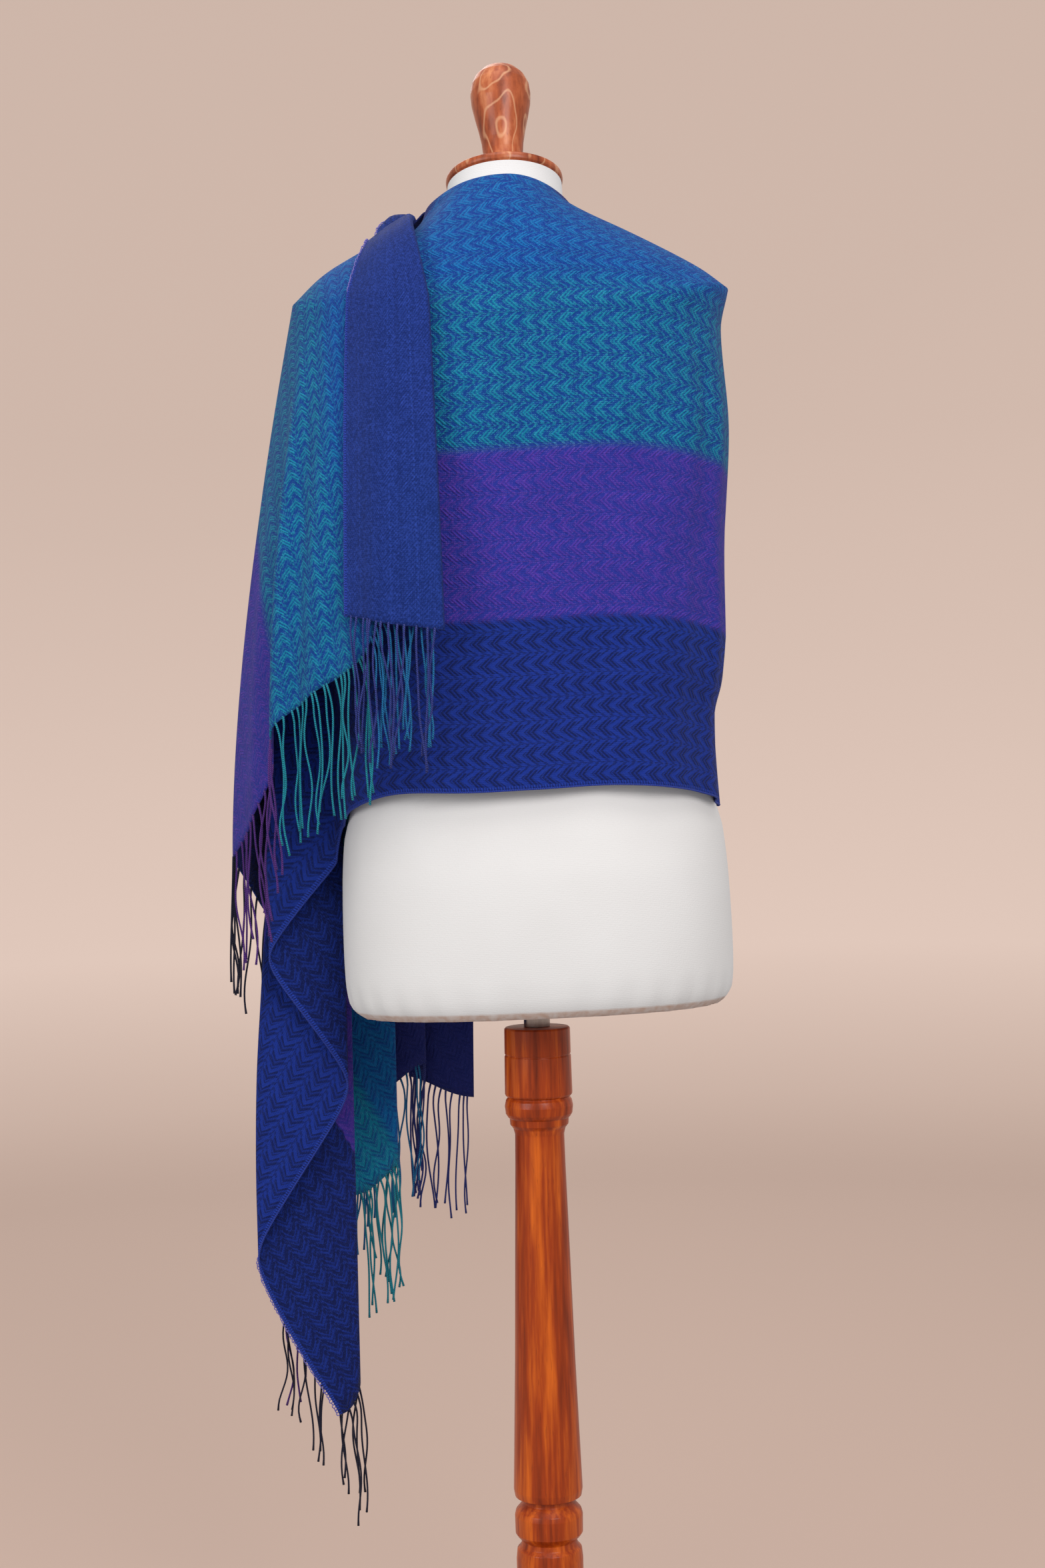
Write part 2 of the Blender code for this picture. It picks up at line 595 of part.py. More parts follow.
def covered_place(point):
    """A point's direction and its share of the way from the form to the wrap."""
    centre_x = axis_x(point.z)
    angle = plan_angle(point, centre_x)
    near = plan_radius(form_point, angle, point.z)
    far = plan_radius(girth_point, angle, point.z)
    share = (math.hypot(point.x - centre_x, point.y) - near) / (far - near)
    return angle, min(max(share, SHARE_LIMITS[0]), SHARE_LIMITS[1])


def covered_point(angle, share, z):
    """The point at that share of the way from the form to the wrap."""
    radius = mix(plan_radius(form_point, angle, z), plan_radius(girth_point, angle, z), share)
    turn = math.radians(angle)
    return Vector((axis_x(z) + math.sin(turn) * radius, -math.cos(turn) * radius, z))


def hang_line(at):
    """One line of the hanging end from its hidden top to its lower edge; at counts the rows of PLEATS."""
    last = len(PLEATS) - 1
    azimuth = mix(*HANG_TOP_AZIMUTHS, at / last)
    x, y = (spline([getattr(p, c) for p in PLEATS], at) for c in ("x", "y"))
    pleat = min(int(at), last - 1)
    edge_z = mix(PLEATS[pleat].edge_z, PLEATS[pleat + 1].edge_z, level_ended(at - pleat))
    line = [ring_point(azimuth, ring, LAP) for ring in RING_STOPS[HANG_FIRST_ROW:]]
    top = line[-1]
    top_place = covered_place(top)
    low_place = covered_place(Vector((x, y, HANG_FREE_Z)))
    low = covered_point(*low_place, HANG_FREE_Z)
    for i in range(1, ROWS_BELOW + 1):
        z = mix(top.z, edge_z, i / ROWS_BELOW)
        if z > HANG_FREE_Z:
            share = smoothstep(top.z, HANG_FREE_Z, z)
            place = [mix(a, b, share) for a, b in zip(top_place, low_place)]
            line.append(covered_point(*place, z))
            continue
        share = smoothstep(HANG_FREE_Z, HANG_LOW_Z, z)
        line.append(Vector((mix(low.x, x, share), mix(low.y, y, share), z)))
    seam = wrap_line(azimuth, LAP)[HANG_FIRST_ROW:]
    blend = smoothstep(0.0, 1.0, at)
    return [a.lerp(b, blend) for a, b in zip(seam, line)]


def hang_grid(columns):
    last = len(PLEATS) - 1
    places = [0.0] + [last * (i + 0.5) / columns for i in range(columns)] + [last]
    return [hang_line(at) for at in places]


def cloth_wall(name, grid, look, thickness=CLOTH):
    """A woven stretch: an open sheet through the grid's points, made a wall by Solidify."""
    sheet = bmesh.new()
    made = [[sheet.verts.new(point) for point in line] for line in grid]
    for i in range(len(made) - 1):
        for j in range(len(made[0]) - 1):
            sheet.faces.new((made[i][j], made[i + 1][j], made[i + 1][j + 1], made[i][j + 1]))
    mesh = bpy.data.meshes.new(name)
    bmesh.ops.recalc_face_normals(sheet, faces=sheet.faces)
    bmesh.ops.triangulate(sheet, faces=sheet.faces, quad_method="SHORT_EDGE")
    sheet.to_mesh(mesh)
    sheet.free()
    mesh.shade_smooth()
    obj = add_object(name, mesh, look)
    wall = obj.modifiers.new("wall", "SOLIDIFY")
    wall.thickness = thickness
    wall.offset = 0.0
    return obj


def seamed(grid, first=True, last=True, top=False):
    """The grid with its outer lines moved in a little, so that two stretches part there."""
    lines = [list(line) for line in grid]
    for wanted, edge, inner in ((first, 0, 1), (last, -1, -2)):
        if wanted:
            lines[edge] = [a + (b - a).normalized() * SEAM_SIDE for a, b in zip(lines[edge], lines[inner])]
    if top:
        for line in lines:
            line[0] = line[0] + (line[1] - line[0]).normalized() * SEAM_SIDE
    return lines


def turned(name, profile, look, steps=TURN_STEPS):
    """A solid of revolution about +Z from (radius, height) pairs, given from top to bottom."""
    line = bmesh.new()
    points = [line.verts.new((radius, 0.0, height)) for radius, height in profile]
    for upper, lower in zip(points, points[1:]):
        line.edges.new((upper, lower))
    mesh = bpy.data.meshes.new(name)
    line.to_mesh(mesh)
    line.free()
    obj = add_object(name, mesh, look)
    screw = obj.modifiers.new("turn", "SCREW")
    screw.steps = steps
    screw.render_steps = steps
    screw.use_merge_vertices = True
    screw.merge_threshold = 0.00005
    return obj


def closed_loft(name, rings, look):
    """A solid through closed rings of equal length, with a flat end at each."""
    solid = bmesh.new()
    loops = [[solid.verts.new(point) for point in ring] for ring in rings]
    count = len(rings[0])
    for low, high in zip(loops, loops[1:]):
        for i in range(count):
            solid.faces.new((low[i], low[(i + 1) % count], high[(i + 1) % count], high[i]))
    solid.faces.new(list(reversed(loops[0])))
    solid.faces.new(loops[-1])
    bmesh.ops.recalc_face_normals(solid, faces=solid.faces)
    mesh = bpy.data.meshes.new(name)
    solid.to_mesh(mesh)
    solid.free()
    mesh.shade_smooth()
    return add_object(name, mesh, look)


def build_form():
    low, high = FORM_SECTIONS[0].z, FORM_SECTIONS[-1].z
    heights = [mix(low, high, i / FORM_RINGS) for i in range(FORM_RINGS + 1)]
    heights[1:1] = [FORM_SECTIONS[1].z, FORM_SECTIONS[2].z]
    rings = [
        [form_point(360.0 * i / FORM_SIDES, z) for i in range(FORM_SIDES)] for z in heights
    ]
    closed_loft("form_body", rings, material("cover"))


def build_stand():
    wood = material("wood", roughness=0.35)
    turned("stand_post", POST_PROFILE, wood)
    turned("stand_base", BASE_PROFILE, wood, steps=BASE_STEPS)
    post_top = POST_PROFILE[0][1]
    form_low = FORM_SECTIONS[0].z
    rod_top, rod_low = form_low - SEAM * 2, post_top + SEAM
    rod = [(0.0, rod_top), (ROD_RADIUS, rod_top), (ROD_RADIUS, rod_low), (0.0, rod_low)]
    turned("stand_rod", rod, material("steel", roughness=0.4, metallic=1.0))


def build_cap():
    cap = turned("neck_cap", CAP_PROFILE, material("wood", roughness=0.35))
    top = form_point(0.0, NECK_TOP_Z)
    front = form_point(180.0, NECK_TOP_Z)
    cap.location = (top + front) / 2 + Vector((0.0, 0.0, SEAM))
    cap.rotation_euler = (-NECK_TILT, -LEAN, 0.0)


def build_fringe(name, grid, columns, strands, colour, sway=0.0):
    """Strands that grow, as one body, from a narrow strip just below a grid's lower edge."""
    slots = strands * 2 + 1
    edge = [line[-1] for line in grid]
    normals = [outward(grid, i, len(grid[0]) - 1) for i in range(len(grid))]
    solid = bmesh.new()
    rows = []
    for i in range(slots + 1):
        at = mix(*columns, i / slots)
        side = along(normals, at).normalized()
        run = along(edge, min(at + EDGE_REACH, len(edge) - 1)) - along(edge, max(at - EDGE_REACH, 0.0))
        below = side.cross(run).normalized()
        below *= -math.copysign(1.0, below.z)
        flat = side * (CLOTH / 2)
        top = along(edge, at) + below * FRINGE_GAP
        low = top + below * BACKING
        rows.append([solid.verts.new(p) for p in (top + flat, top - flat, low - flat, low + flat)])
    for a, b in zip(rows, rows[1:]):
        for k in (0, 1, 3):
            solid.faces.new((a[k], a[(k + 1) % 4], b[(k + 1) % 4], b[k]))
    solid.faces.new(rows[0])
    solid.faces.new(list(reversed(rows[-1])))
    for i in range(slots):
        root = (rows[i][2], rows[i][3], rows[i + 1][3], rows[i + 1][2])
        if i % 2 == 1:
            grow_strand(solid, root, strand_path(i // 2 + len(name), sway))
        else:
            solid.faces.new(root)
    bmesh.ops.recalc_face_normals(solid, faces=solid.faces)
    mesh = bpy.data.meshes.new(name)
    solid.to_mesh(mesh)
    solid.free()
    return add_object(name, mesh, material(colour))


def strand_path(number, sway):
    """Steps of one hanging strand from its root: gently bent, a little longer or shorter than the next."""
    wave = math.sin(number * 0.9)
    turn = math.cos(number * 1.7)
    own = FRINGE_LENGTH * (1.0 + STRAND_UNEVEN * math.sin(number * 5.1))
    steps = []
    for share in STRAND_STEPS:
        bend = math.sin(share * 2.6) * STRAND_BEND
        steps.append(Vector((wave * bend + sway * share**2, turn * bend, -own * share)))
    return steps


def grow_strand(solid, root, steps):
    """A four-sided strand from a face of the backing."""
    middle = sum((v.co for v in root), Vector()) / 4
    ring = list(root)
    for step in steps:
        corners = []
        for v in root:
            offset = v.co - middle
            offset.z = 0.0
            corners.append(solid.verts.new(middle + step + offset.normalized() * (STRAND / 2)))
        for k in range(4):
            solid.faces.new((ring[k], ring[(k + 1) % 4], corners[(k + 1) % 4], corners[k]))
        ring = corners
    solid.faces.new(ring)


def build_shawl():
    cloth = material("royal")
    back = wrap_grid(BACK_START, BACK_END, BACK_COLUMNS)
    right = wrap_grid(BACK_END, FRONT_START, RIGHT_COLUMNS)
    front = wrap_grid(FRONT_START, FRONT_END, FRONT_COLUMNS)
    fall = fall_grid(FALL_COLUMNS, FALL_ROWS)
    strip = strip_grid(STRIP_COLUMNS, STRIP_ROWS)
    hang = hang_grid(HANG_COLUMNS)
    cloth_wall("back_panel", seamed(back), cloth)
    cloth_wall("right_wrap", seamed(right), cloth)
    cloth_wall("front_panel", seamed(front), cloth)
    cloth_wall("shoulder_fall", seamed(fall, first=False, top=True), cloth)
    cloth_wall("folded_edge", strip, cloth)
    cloth_wall("hanging_end", seamed(hang, last=False), cloth)
    build_fringes(front, fall, strip, hang)


def build_fringes(front, fall, strip, hang):
    """A fringe for each colour stretch of the two woven ends, in grid columns of the cloth above it."""
    first_front = (FRINGED_FROM - FRONT_START) / (FRONT_END - FRONT_START) * FRONT_COLUMNS
    per_line = FALL_COLUMNS / (len(FALLS) - 1)
    per_pleat = HANG_COLUMNS / (len(PLEATS) - 1)
    build_fringe("fringe_front_navy", front, (first_front, FRONT_FRINGE_END), FRONT_STRANDS, "navy")
    for name, first, last, strands, colour, sway in FALL_FRINGES:
        build_fringe(name, fall, (first * per_line, last * per_line), strands, colour, sway)
    build_fringe("fringe_fold_violet", strip, STRIP_FRINGE, STRIP_STRANDS, "violet")
    for name, first, last, strands, colour in HANG_FRINGES:
        columns = (first * per_pleat + 0.5, last * per_pleat + 0.5)
        build_fringe(name, hang, columns, strands, colour)


clear_scene()
PARTS = bpy.data.collections.new("shawl_on_form")
bpy.context.scene.collection.children.link(PARTS)
build_form()
build_cap()
build_stand()
build_shawl()
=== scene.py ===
import math
from collections import namedtuple

import bmesh
import bpy
import numpy as np
from mathutils import Matrix, Vector


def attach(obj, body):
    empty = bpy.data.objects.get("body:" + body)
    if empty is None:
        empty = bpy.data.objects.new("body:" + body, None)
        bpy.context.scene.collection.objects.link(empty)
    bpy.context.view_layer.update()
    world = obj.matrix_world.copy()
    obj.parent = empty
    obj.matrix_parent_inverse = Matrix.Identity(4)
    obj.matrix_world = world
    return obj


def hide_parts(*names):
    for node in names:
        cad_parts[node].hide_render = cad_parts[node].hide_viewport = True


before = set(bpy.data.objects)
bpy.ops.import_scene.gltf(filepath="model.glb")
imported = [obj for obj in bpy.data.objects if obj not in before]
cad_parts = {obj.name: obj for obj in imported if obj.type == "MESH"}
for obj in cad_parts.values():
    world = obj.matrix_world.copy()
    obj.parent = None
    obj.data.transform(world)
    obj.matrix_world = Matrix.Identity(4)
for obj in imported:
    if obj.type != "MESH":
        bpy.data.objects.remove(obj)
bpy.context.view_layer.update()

# The camera and its picture
CAMERA_PLACE = (-0.0079, -2.0, 0.95)
CAMERA_ROLL = math.radians(-1.4)

# The shawl as woven, in metres: u runs along the warp from the thrown end, v across it from the navy edge
SHAWL_WIDTH = 0.74
BAND = SHAWL_WIDTH / 5
ARROW_PITCH = 0.0155
ARROW_ROW = 0.0197
ROW_SHIFT = 0.30
ARROW_LEAN = 1.25
SELVEDGE = 0.0030
SELVEDGE_SOFT = 0.0006
SELVEDGE_RADIUS = 0.0010
CLOTH = 0.0014
STITCH = 0.0017
LAYER = 0.0055
LAP = 0.0072
YARN = 0.00088
LOOSE_YARN = 0.0005

# The warp is counted from this azimuth on the wrap, and from the side seam on the hanging end.
WARP_AZIMUTH = 178.0
WRAP_WARP_START, HANG_WARP_START = 0.80, 1.3

# The studio
FLOOR_MIDDLE, FLOOR_RADIUS = 1.5, 3.2
SWEEP = 1.4
WALL_HEIGHT = 7.0

# The form leans a little to its left on the post.
LEAN = 0.02
LEAN_BASE_Z = 0.95

Section = namedtuple("Section", "z half_width back_depth front_depth squareness")
FORM_SECTIONS = [
    Section(0.7435, 0.1480, 0.0900, 0.0860, 2.5),
    Section(0.7450, 0.1620, 0.1040, 0.1000, 2.5),
    Section(0.7530, 0.1725, 0.1130, 0.1090, 2.5),
    Section(0.7750, 0.1770, 0.1180, 0.1130, 2.5),
    Section(0.8200, 0.1775, 0.1190, 0.1140, 2.5),
    Section(0.8700, 0.1760, 0.1170, 0.1130, 2.5),
    Section(0.9050, 0.1730, 0.1120, 0.1110, 2.5),
    Section(0.9250, 0.1680, 0.1080, 0.1100, 2.5),
    Section(0.9450, 0.1645, 0.1050, 0.1090, 2.5),
    Section(0.9900, 0.1600, 0.1010, 0.1080, 2.5),
    Section(1.0700, 0.1590, 0.0980, 0.1080, 2.5),
    Section(1.1700, 0.1680, 0.1020, 0.1150, 2.5),
    Section(1.2600, 0.1750, 0.1080, 0.1230, 2.5),
    Section(1.3300, 0.1780, 0.1040, 0.1130, 2.5),
    Section(1.3700, 0.1810, 0.0960, 0.0950, 2.4),
    Section(1.3900, 0.1780, 0.0880, 0.0830, 2.3),
    Section(1.4050, 0.1650, 0.0800, 0.0750, 2.2),
    Section(1.4200, 0.1360, 0.0730, 0.0680, 2.1),
    Section(1.4350, 0.1020, 0.0660, 0.0610, 2.0),
    Section(1.4500, 0.0640, 0.0570, 0.0550, 2.0),
    Section(1.4620, 0.0545, 0.0535, 0.0530, 2.0),
    Section(1.4750, 0.0535, 0.0530, 0.0530, 2.0),
    Section(1.5015, 0.0528, 0.0528, 0.0528, 2.0),
]
NECK_START_Z = 1.45
NECK_TOP_Z = 1.5015
NECK_FORWARD = 0.012
WRAP_FORWARD = 0.005
NECK_TILT = math.radians(11)

Ring = namedtuple(
    "Ring", "name z_back z_right z_left z_front right_width left_width back_depth front_depth squareness"
)
RINGS = [
    Ring("tuck", 1.481, 1.464, 1.470, 1.448, 0.0585, 0.0680, 0.0580, 0.0650, 2.0),
    Ring("neck", 1.4935, 1.473, 1.479, 1.458, 0.0610, 0.0735, 0.0610, 0.0690, 2.0),
    Ring("collar", 1.4825, 1.462, 1.468, 1.446, 0.0710, 0.0860, 0.0700, 0.0790, 2.0),
    Ring("slope", 1.447, 1.444, 1.448, 1.415, 0.1150, 0.1170, 0.0900, 0.0980, 2.1),
    Ring("blade", 1.405, 1.412, 1.420, 1.375, 0.1720, 0.1680, 0.1060, 0.1140, 2.3),
    Ring("shoulder", 1.365, 1.391, 1.393, 1.335, 0.1990, 0.1980, 0.1150, 0.1230, 2.5),
]
COLLAR_RING = 2
SHOULDER_RING = len(RINGS) - 1
TUCKED_RING, HANG_RING = 0.6, 2.6
INSET_LOW_Z, INSET_FULL_Z = 0.96, 1.12
RING_STOPS = (0.0, 0.6, 1.3, 2.1, 2.9, 3.6, 4.3, 5.0)
SHOULDER_ROW = len(RING_STOPS) - 1
ROWS_BELOW = 10
FRONT_END, BACK_START = 270.0, -86.0
FRINGED_FROM = 250.0
SIDE_FROM = 246.0
LAP_FROM, LAP_FULL = -25.0, -60.0
NECK_RISE = 0.2
HEM_REACH = 0.25
WRAP_COLUMNS, FALL_COLUMNS, HANG_COLUMNS = 339, 96, 260

Girth = namedtuple("Girth", "z half_width back_depth front_depth")
GIRTHS = [
    Girth(1.396, 0.1990, 0.1150, 0.1230),
    Girth(1.360, 0.1905, 0.1185, 0.1290),
    Girth(1.270, 0.1940, 0.1210, 0.1350),
    Girth(1.176, 0.1870, 0.1170, 0.1320),
    Girth(1.078, 0.1835, 0.1150, 0.1290),
    Girth(1.040, 0.1780, 0.1160, 0.1290),
    Girth(1.012, 0.1700, 0.1170, 0.1290),
    Girth(0.930, 0.1715, 0.1220, 0.1330),
    Girth(0.820, 0.1780, 0.1250, 0.1350),
]
GIRTH_SQUARENESS = 2.5

FLARE = 0.104
FLARE_FROM, FLARE_TO = 150.0, 255.0
FLARE_TOP_Z, FLARE_LOW_Z = 1.40, 0.88
FLARE_CURVE = 1.3
FLARE_END_FROM, FLARE_END_TO = 272.0, 300.0

Hem = namedtuple("Hem", "azimuth z")
HEMS = [
    Hem(-86, 0.916),
    Hem(-70, 0.930),
    Hem(-40, 0.944),
    Hem(-10, 0.944),
    Hem(20, 0.948),
    Hem(50, 0.942),
    Hem(75, 0.932),
    Hem(92, 0.926),
    Hem(120, 0.928),
    Hem(160, 0.926),
    Hem(200, 0.902),
    Hem(230, 0.862),
    Hem(249, 0.825),
    Hem(260, 0.856),
    Hem(270, 0.889),
]

Fold = namedtuple("Fold", "azimuth depth width top_z low_z")
FOLDS = [
    Fold(-20, 0.0030, 9, 1.30, 0.93),
    Fold(14, -0.0035, 10, 1.12, 0.93),
    Fold(34, 0.0030, 8, 1.30, 0.93),
    Fold(66, 0.0035, 6, 1.40, 1.02),
    Fold(80, -0.0040, 5, 1.20, 0.97),
    Fold(104, 0.0045, 6, 1.38, 0.93),
    Fold(122, -0.0045, 6, 1.40, 0.93),
    Fold(142, 0.0055, 7, 1.40, 0.93),
    Fold(160, -0.0050, 7, 1.40, 0.93),
    Fold(178, 0.0070, 7, 1.42, 0.91),
    Fold(196, -0.0060, 6, 1.42, 0.90),
    Fold(212, 0.0090, 6, 1.42, 0.87),
    Fold(226, -0.0080, 5, 1.40, 0.85),
    Fold(240, 0.0080, 5, 1.38, 0.83),
    Fold(255, -0.0050, 5, 1.36, 0.83),
]

# Soft creases, that slope by so many degrees for each metre up
Crease = namedtuple("Crease", "azimuth z depth width reach slope")
CREASES = [
    Crease(-52, 1.22, 0.0016, 4.0, 0.16, 30),
    Crease(-36, 1.06, -0.0014, 4.5, 0.14, -20),
    Crease(-24, 1.28, 0.0015, 3.5, 0.12, 60),
    Crease(-9, 1.02, 0.0013, 4.0, 0.1, 10),
    Crease(3, 1.24, -0.0012, 5.0, 0.11, -50),
    Crease(16, 1.33, 0.0014, 4.5, 0.07, -90),
    Crease(24, 1, 0.0013, 3.6, 0.09, 20),
    Crease(33, 1.18, -0.0014, 4.0, 0.12, 40),
    Crease(46, 1.08, 0.0016, 3.5, 0.15, 15),
    Crease(55, 1.3, -0.0016, 4.0, 0.1, -60),
    Crease(62, 1.16, 0.0016, 3.4, 0.12, -30),
    Crease(74, 1.06, 0.0031, 3.7, 0.12, 20),
    Crease(90, 1.2, -0.0031, 4.0, 0.14, 45),
    Crease(98, 1.02, 0.0031, 3.9, 0.1, -25),
    Crease(116, 1.24, 0.0034, 4.0, 0.13, 60),
    Crease(131, 1.08, -0.0031, 4.1, 0.12, -35),
    Crease(150, 1.2, 0.0034, 3.9, 0.13, 50),
    Crease(168, 1.05, -0.0034, 4.1, 0.12, 30),
    Crease(188, 1.24, 0.0034, 3.9, 0.14, -40),
    Crease(204, 1.1, 0.0031, 3.7, 0.12, 35),
    Crease(219, 1.22, -0.0034, 3.9, 0.12, -30),
    Crease(233, 1.04, 0.0031, 3.4, 0.12, 25),
]

# The thrown end. high and low are the places of each line in the shawl's width, at the ridge and at the edge.
Fall = namedtuple("Fall", "name ridge_share shoulder_x edge_x edge_y edge_z drop high low")
FALLS = [
    Fall("fold", 0.00, -0.0700, -0.0745, -0.1480, 1.101, 1.2, 0.590, 0.590),
    Fall("azure", 0.20, -0.1050, -0.1200, -0.1520, 1.098, 1.2, 0.552, 0.512),
    Fall("teal", 0.36, -0.1290, -0.1420, -0.1500, 1.060, 1.3, 0.520, 0.446),
    Fall("teal hollow", 0.58, -0.1570, -0.1800, -0.1340, 1.035, 1.4, 0.475, 0.385),
    Fall("crest", 0.78, -0.1790, -0.2150, -0.1100, 1.004, 1.5, 0.435, 0.312),
    Fall("purple", 0.92, -0.1940, -0.2440, -0.0600, 0.932, 1.6, 0.402, 0.222),
    Fall("side", 1.00, -0.1980, -0.2750, 0.0000, 0.889, 1.6, 0.384, 0.148),
]
FALL_TWIST = 1.12

# Soft folds down the thrown end, by the line they follow
FallFold = namedtuple("FallFold", "line depth width slope")
FALL_FOLDS = [
    FallFold(0.70, -0.0016, 0.30, 0.15),
    FallFold(1.50, 0.0016, 0.28, -0.10),
    FallFold(2.55, -0.0034, 0.24, 0.20),
    FallFold(3.10, 0.0034, 0.26, 0.10),
    FallFold(3.58, -0.0030, 0.18, -0.05),
    FallFold(4.02, 0.0046, 0.20, 0.00),
    FallFold(4.50, -0.0036, 0.24, 0.10),
    FallFold(5.15, 0.0030, 0.26, -0.15),
]
FALL_FOLD_FROM, FALL_FOLD_FULL = 0.28, 0.75
FOLD_RING = 2.06
CREST_LINE = 4
CREST_DEPTH = 0.006
CREST_WIDTH = 0.35
CREST_WAY = Vector((-0.75, -0.66, 0.0))

# The folded edge, as a share of the thrown end's lines. At the ridge it is narrower and rises in an arch.
STRIP_LINES = 2.33
STRIP_RIDGE_SHARE = 0.86
STRIP_RIDGE_BLEND = (4, 34)
STRIP_FRONT = 34.0
STRIP_FRONT_RINGS = 0.5
STRIP_FRONT_SHARE = 0.35
STRIP_FRONT_FADE = 0.35
STRIP_EDGE_Z = (1.082, 1.0955)
STRIP_FRONT_LIFT = 0.006
STRIP_LIFT_FADE = 0.12
STRIP_TURN = range(60, 140, 13)
STRIP_SWELL = 0.002
STRIP_WEFT = 0.592
STRIP_BAND = 4.5
LOOP_SPAN = 1.25
LOOP_HEIGHT = 0.024
LOOP_LEAN = 0.6

# The hanging end. band is the place of each fold line's lower edge among the five colour bands.
Pleat = namedtuple("Pleat", "name x y edge_z band")
PLEATS = [
    Pleat("side seam", -0.1780, -0.0110, 0.916, 0.00),
    Pleat("first right", -0.1790, 0.0020, 0.885, 0.00),
    Pleat("first left", -0.2460, 0.0160, 0.794, 0.00),
    Pleat("second right", -0.1780, 0.0340, 0.671, 0.00),
    Pleat("second left", -0.2672, 0.0520, 0.511, 0.00),
    Pleat("tip", -0.1960, 0.0660, 0.356, 0.00),
    Pleat("third right", -0.1800, 0.0800, 0.388, 0.25),
    Pleat("third left", -0.2480, 0.0920, 0.469, 1.00),
    Pleat("fourth right", -0.1820, 0.1050, 0.556, 2.00),
    Pleat("teal right", -0.1380, 0.1160, 0.585, 2.80),
    Pleat("azure left", -0.1780, 0.1320, 0.630, 3.90),
    Pleat("azure right", -0.1120, 0.1480, 0.677, 4.10),
    Pleat("last left", -0.1260, 0.1630, 0.662, 4.20),
    Pleat("selvedge", -0.0640, 0.1660, 0.640, 5.00),
]
HANG_FREE_Z = 0.935
HANG_LOW_Z = 0.60
HANG_TOP_AZIMUTHS = (BACK_START, -186.0)
HANG_FIRST_ROW = 4
SHARE_LIMITS = (0.14, 0.84)
HANG_WARP = math.radians(29.4)
TIP_PLEAT = 5
HEM_FLOW, END_FLOW = 0.75, 0.3

POST_PROFILE = [
    (0.0000, 0.7270), (0.0290, 0.7270), (0.0302, 0.7255), (0.0304, 0.7030), (0.0298, 0.7022),
    (0.0298, 0.7014), (0.0305, 0.7006), (0.0310, 0.6660), (0.0300, 0.6642), (0.0282, 0.6630),
    (0.0302, 0.6605), (0.0314, 0.6550), (0.0306, 0.6480), (0.0286, 0.6448), (0.0272, 0.6436),
    (0.0268, 0.6380), (0.0240, 0.6345), (0.0226, 0.6290), (0.0231, 0.6000), (0.0250, 0.5300),
    (0.0278, 0.4200), (0.0304, 0.3400), (0.0316, 0.3040), (0.0305, 0.2975), (0.0235, 0.2955),
    (0.0238, 0.2915), (0.0300, 0.2845), (0.0312, 0.2800), (0.0310, 0.2640), (0.0290, 0.2610),
    (0.0252, 0.2570), (0.0262, 0.2525), (0.0296, 0.2490), (0.0306, 0.2400), (0.0304, 0.1500),
    (0.0245, 0.1420), (0.0245, 0.1050), (0.0305, 0.0740), (0.0280, 0.0660), (0.0280, 0.0503),
    (0.0000, 0.0503),
]
BASE_PROFILE = [
    (0.0000, 0.0500), (0.0420, 0.0500), (0.0450, 0.0480), (0.0470, 0.0420), (0.0600, 0.0360),
    (0.1000, 0.0325), (0.1750, 0.0290), (0.1860, 0.0250), (0.1900, 0.0180), (0.1900, 0.0060),
    (0.1860, 0.0000), (0.0000, 0.0000),
]
ROD_RADIUS = 0.0120
CAP_PROFILE = [
    (0.0000, 0.1214), (0.0088, 0.1199), (0.0168, 0.1158), (0.0232, 0.1092), (0.0270, 0.1010),
    (0.0280, 0.0922), (0.0273, 0.0820), (0.0248, 0.0695), (0.0217, 0.0560), (0.0194, 0.0435),
    (0.0185, 0.0330), (0.0188, 0.0175), (0.0215, 0.0120), (0.0215, 0.0098), (0.0510, 0.0094),
    (0.0536, 0.0078), (0.0541, 0.0050), (0.0536, 0.0022), (0.0515, 0.0004), (0.0000, 0.0004),
]


# Numbers and curves

def mix(a, b, share):
    return a + (b - a) * share


def smoothstep(low, high, value):
    share = min(1.0, max(0.0, (value - low) / (high - low)))
    return share * share * (3.0 - 2.0 * share)


def level_ended(share):
    return share**3 * (share * (share * 6.0 - 15.0) + 10.0)


def spline(values, at):
    """The value at that place, counted in rows, on a smooth curve through all the values."""
    last = len(values) - 1
    i = min(max(int(at), 0), last - 1)
    t = at - i
    p1, p2 = values[i], values[i + 1]
    p0 = values[i - 1] if i > 0 else p1 + (p1 - p2)
    p3 = values[i + 2] if i + 2 <= last else p2 + (p2 - p1)
    square = (p0 * 2 - p1 * 5 + p2 * 4 - p3) * t**2
    return (p1 * 2 + (p2 - p0) * t + square + (p1 * 3 - p0 - p2 * 3 + p3) * t**3) * 0.5


COLUMNS = {}


def column(rows, name):
    """One column of a table, kept for the next time."""
    key = (id(rows), name)
    if key not in COLUMNS:
        COLUMNS[key] = [getattr(row, name) for row in rows]
    return COLUMNS[key]


def place_in(rows, name, value):
    keys = column(rows, name)
    rising = keys[-1] > keys[0]
    value = min(max(value, min(keys[0], keys[-1])), max(keys[0], keys[-1]))
    for i in range(len(keys) - 1):
        low, high = keys[i], keys[i + 1]
        if (low <= value <= high) if rising else (high <= value <= low):
            return i + (value - low) / (high - low)
    return len(keys) - 1.0


def looked_up(rows, key, value, name):
    return spline(column(rows, name), place_in(rows, key, value))


def along(points, at):
    i = min(max(int(at), 0), len(points) - 2)
    return points[i].lerp(points[i + 1], at - i)


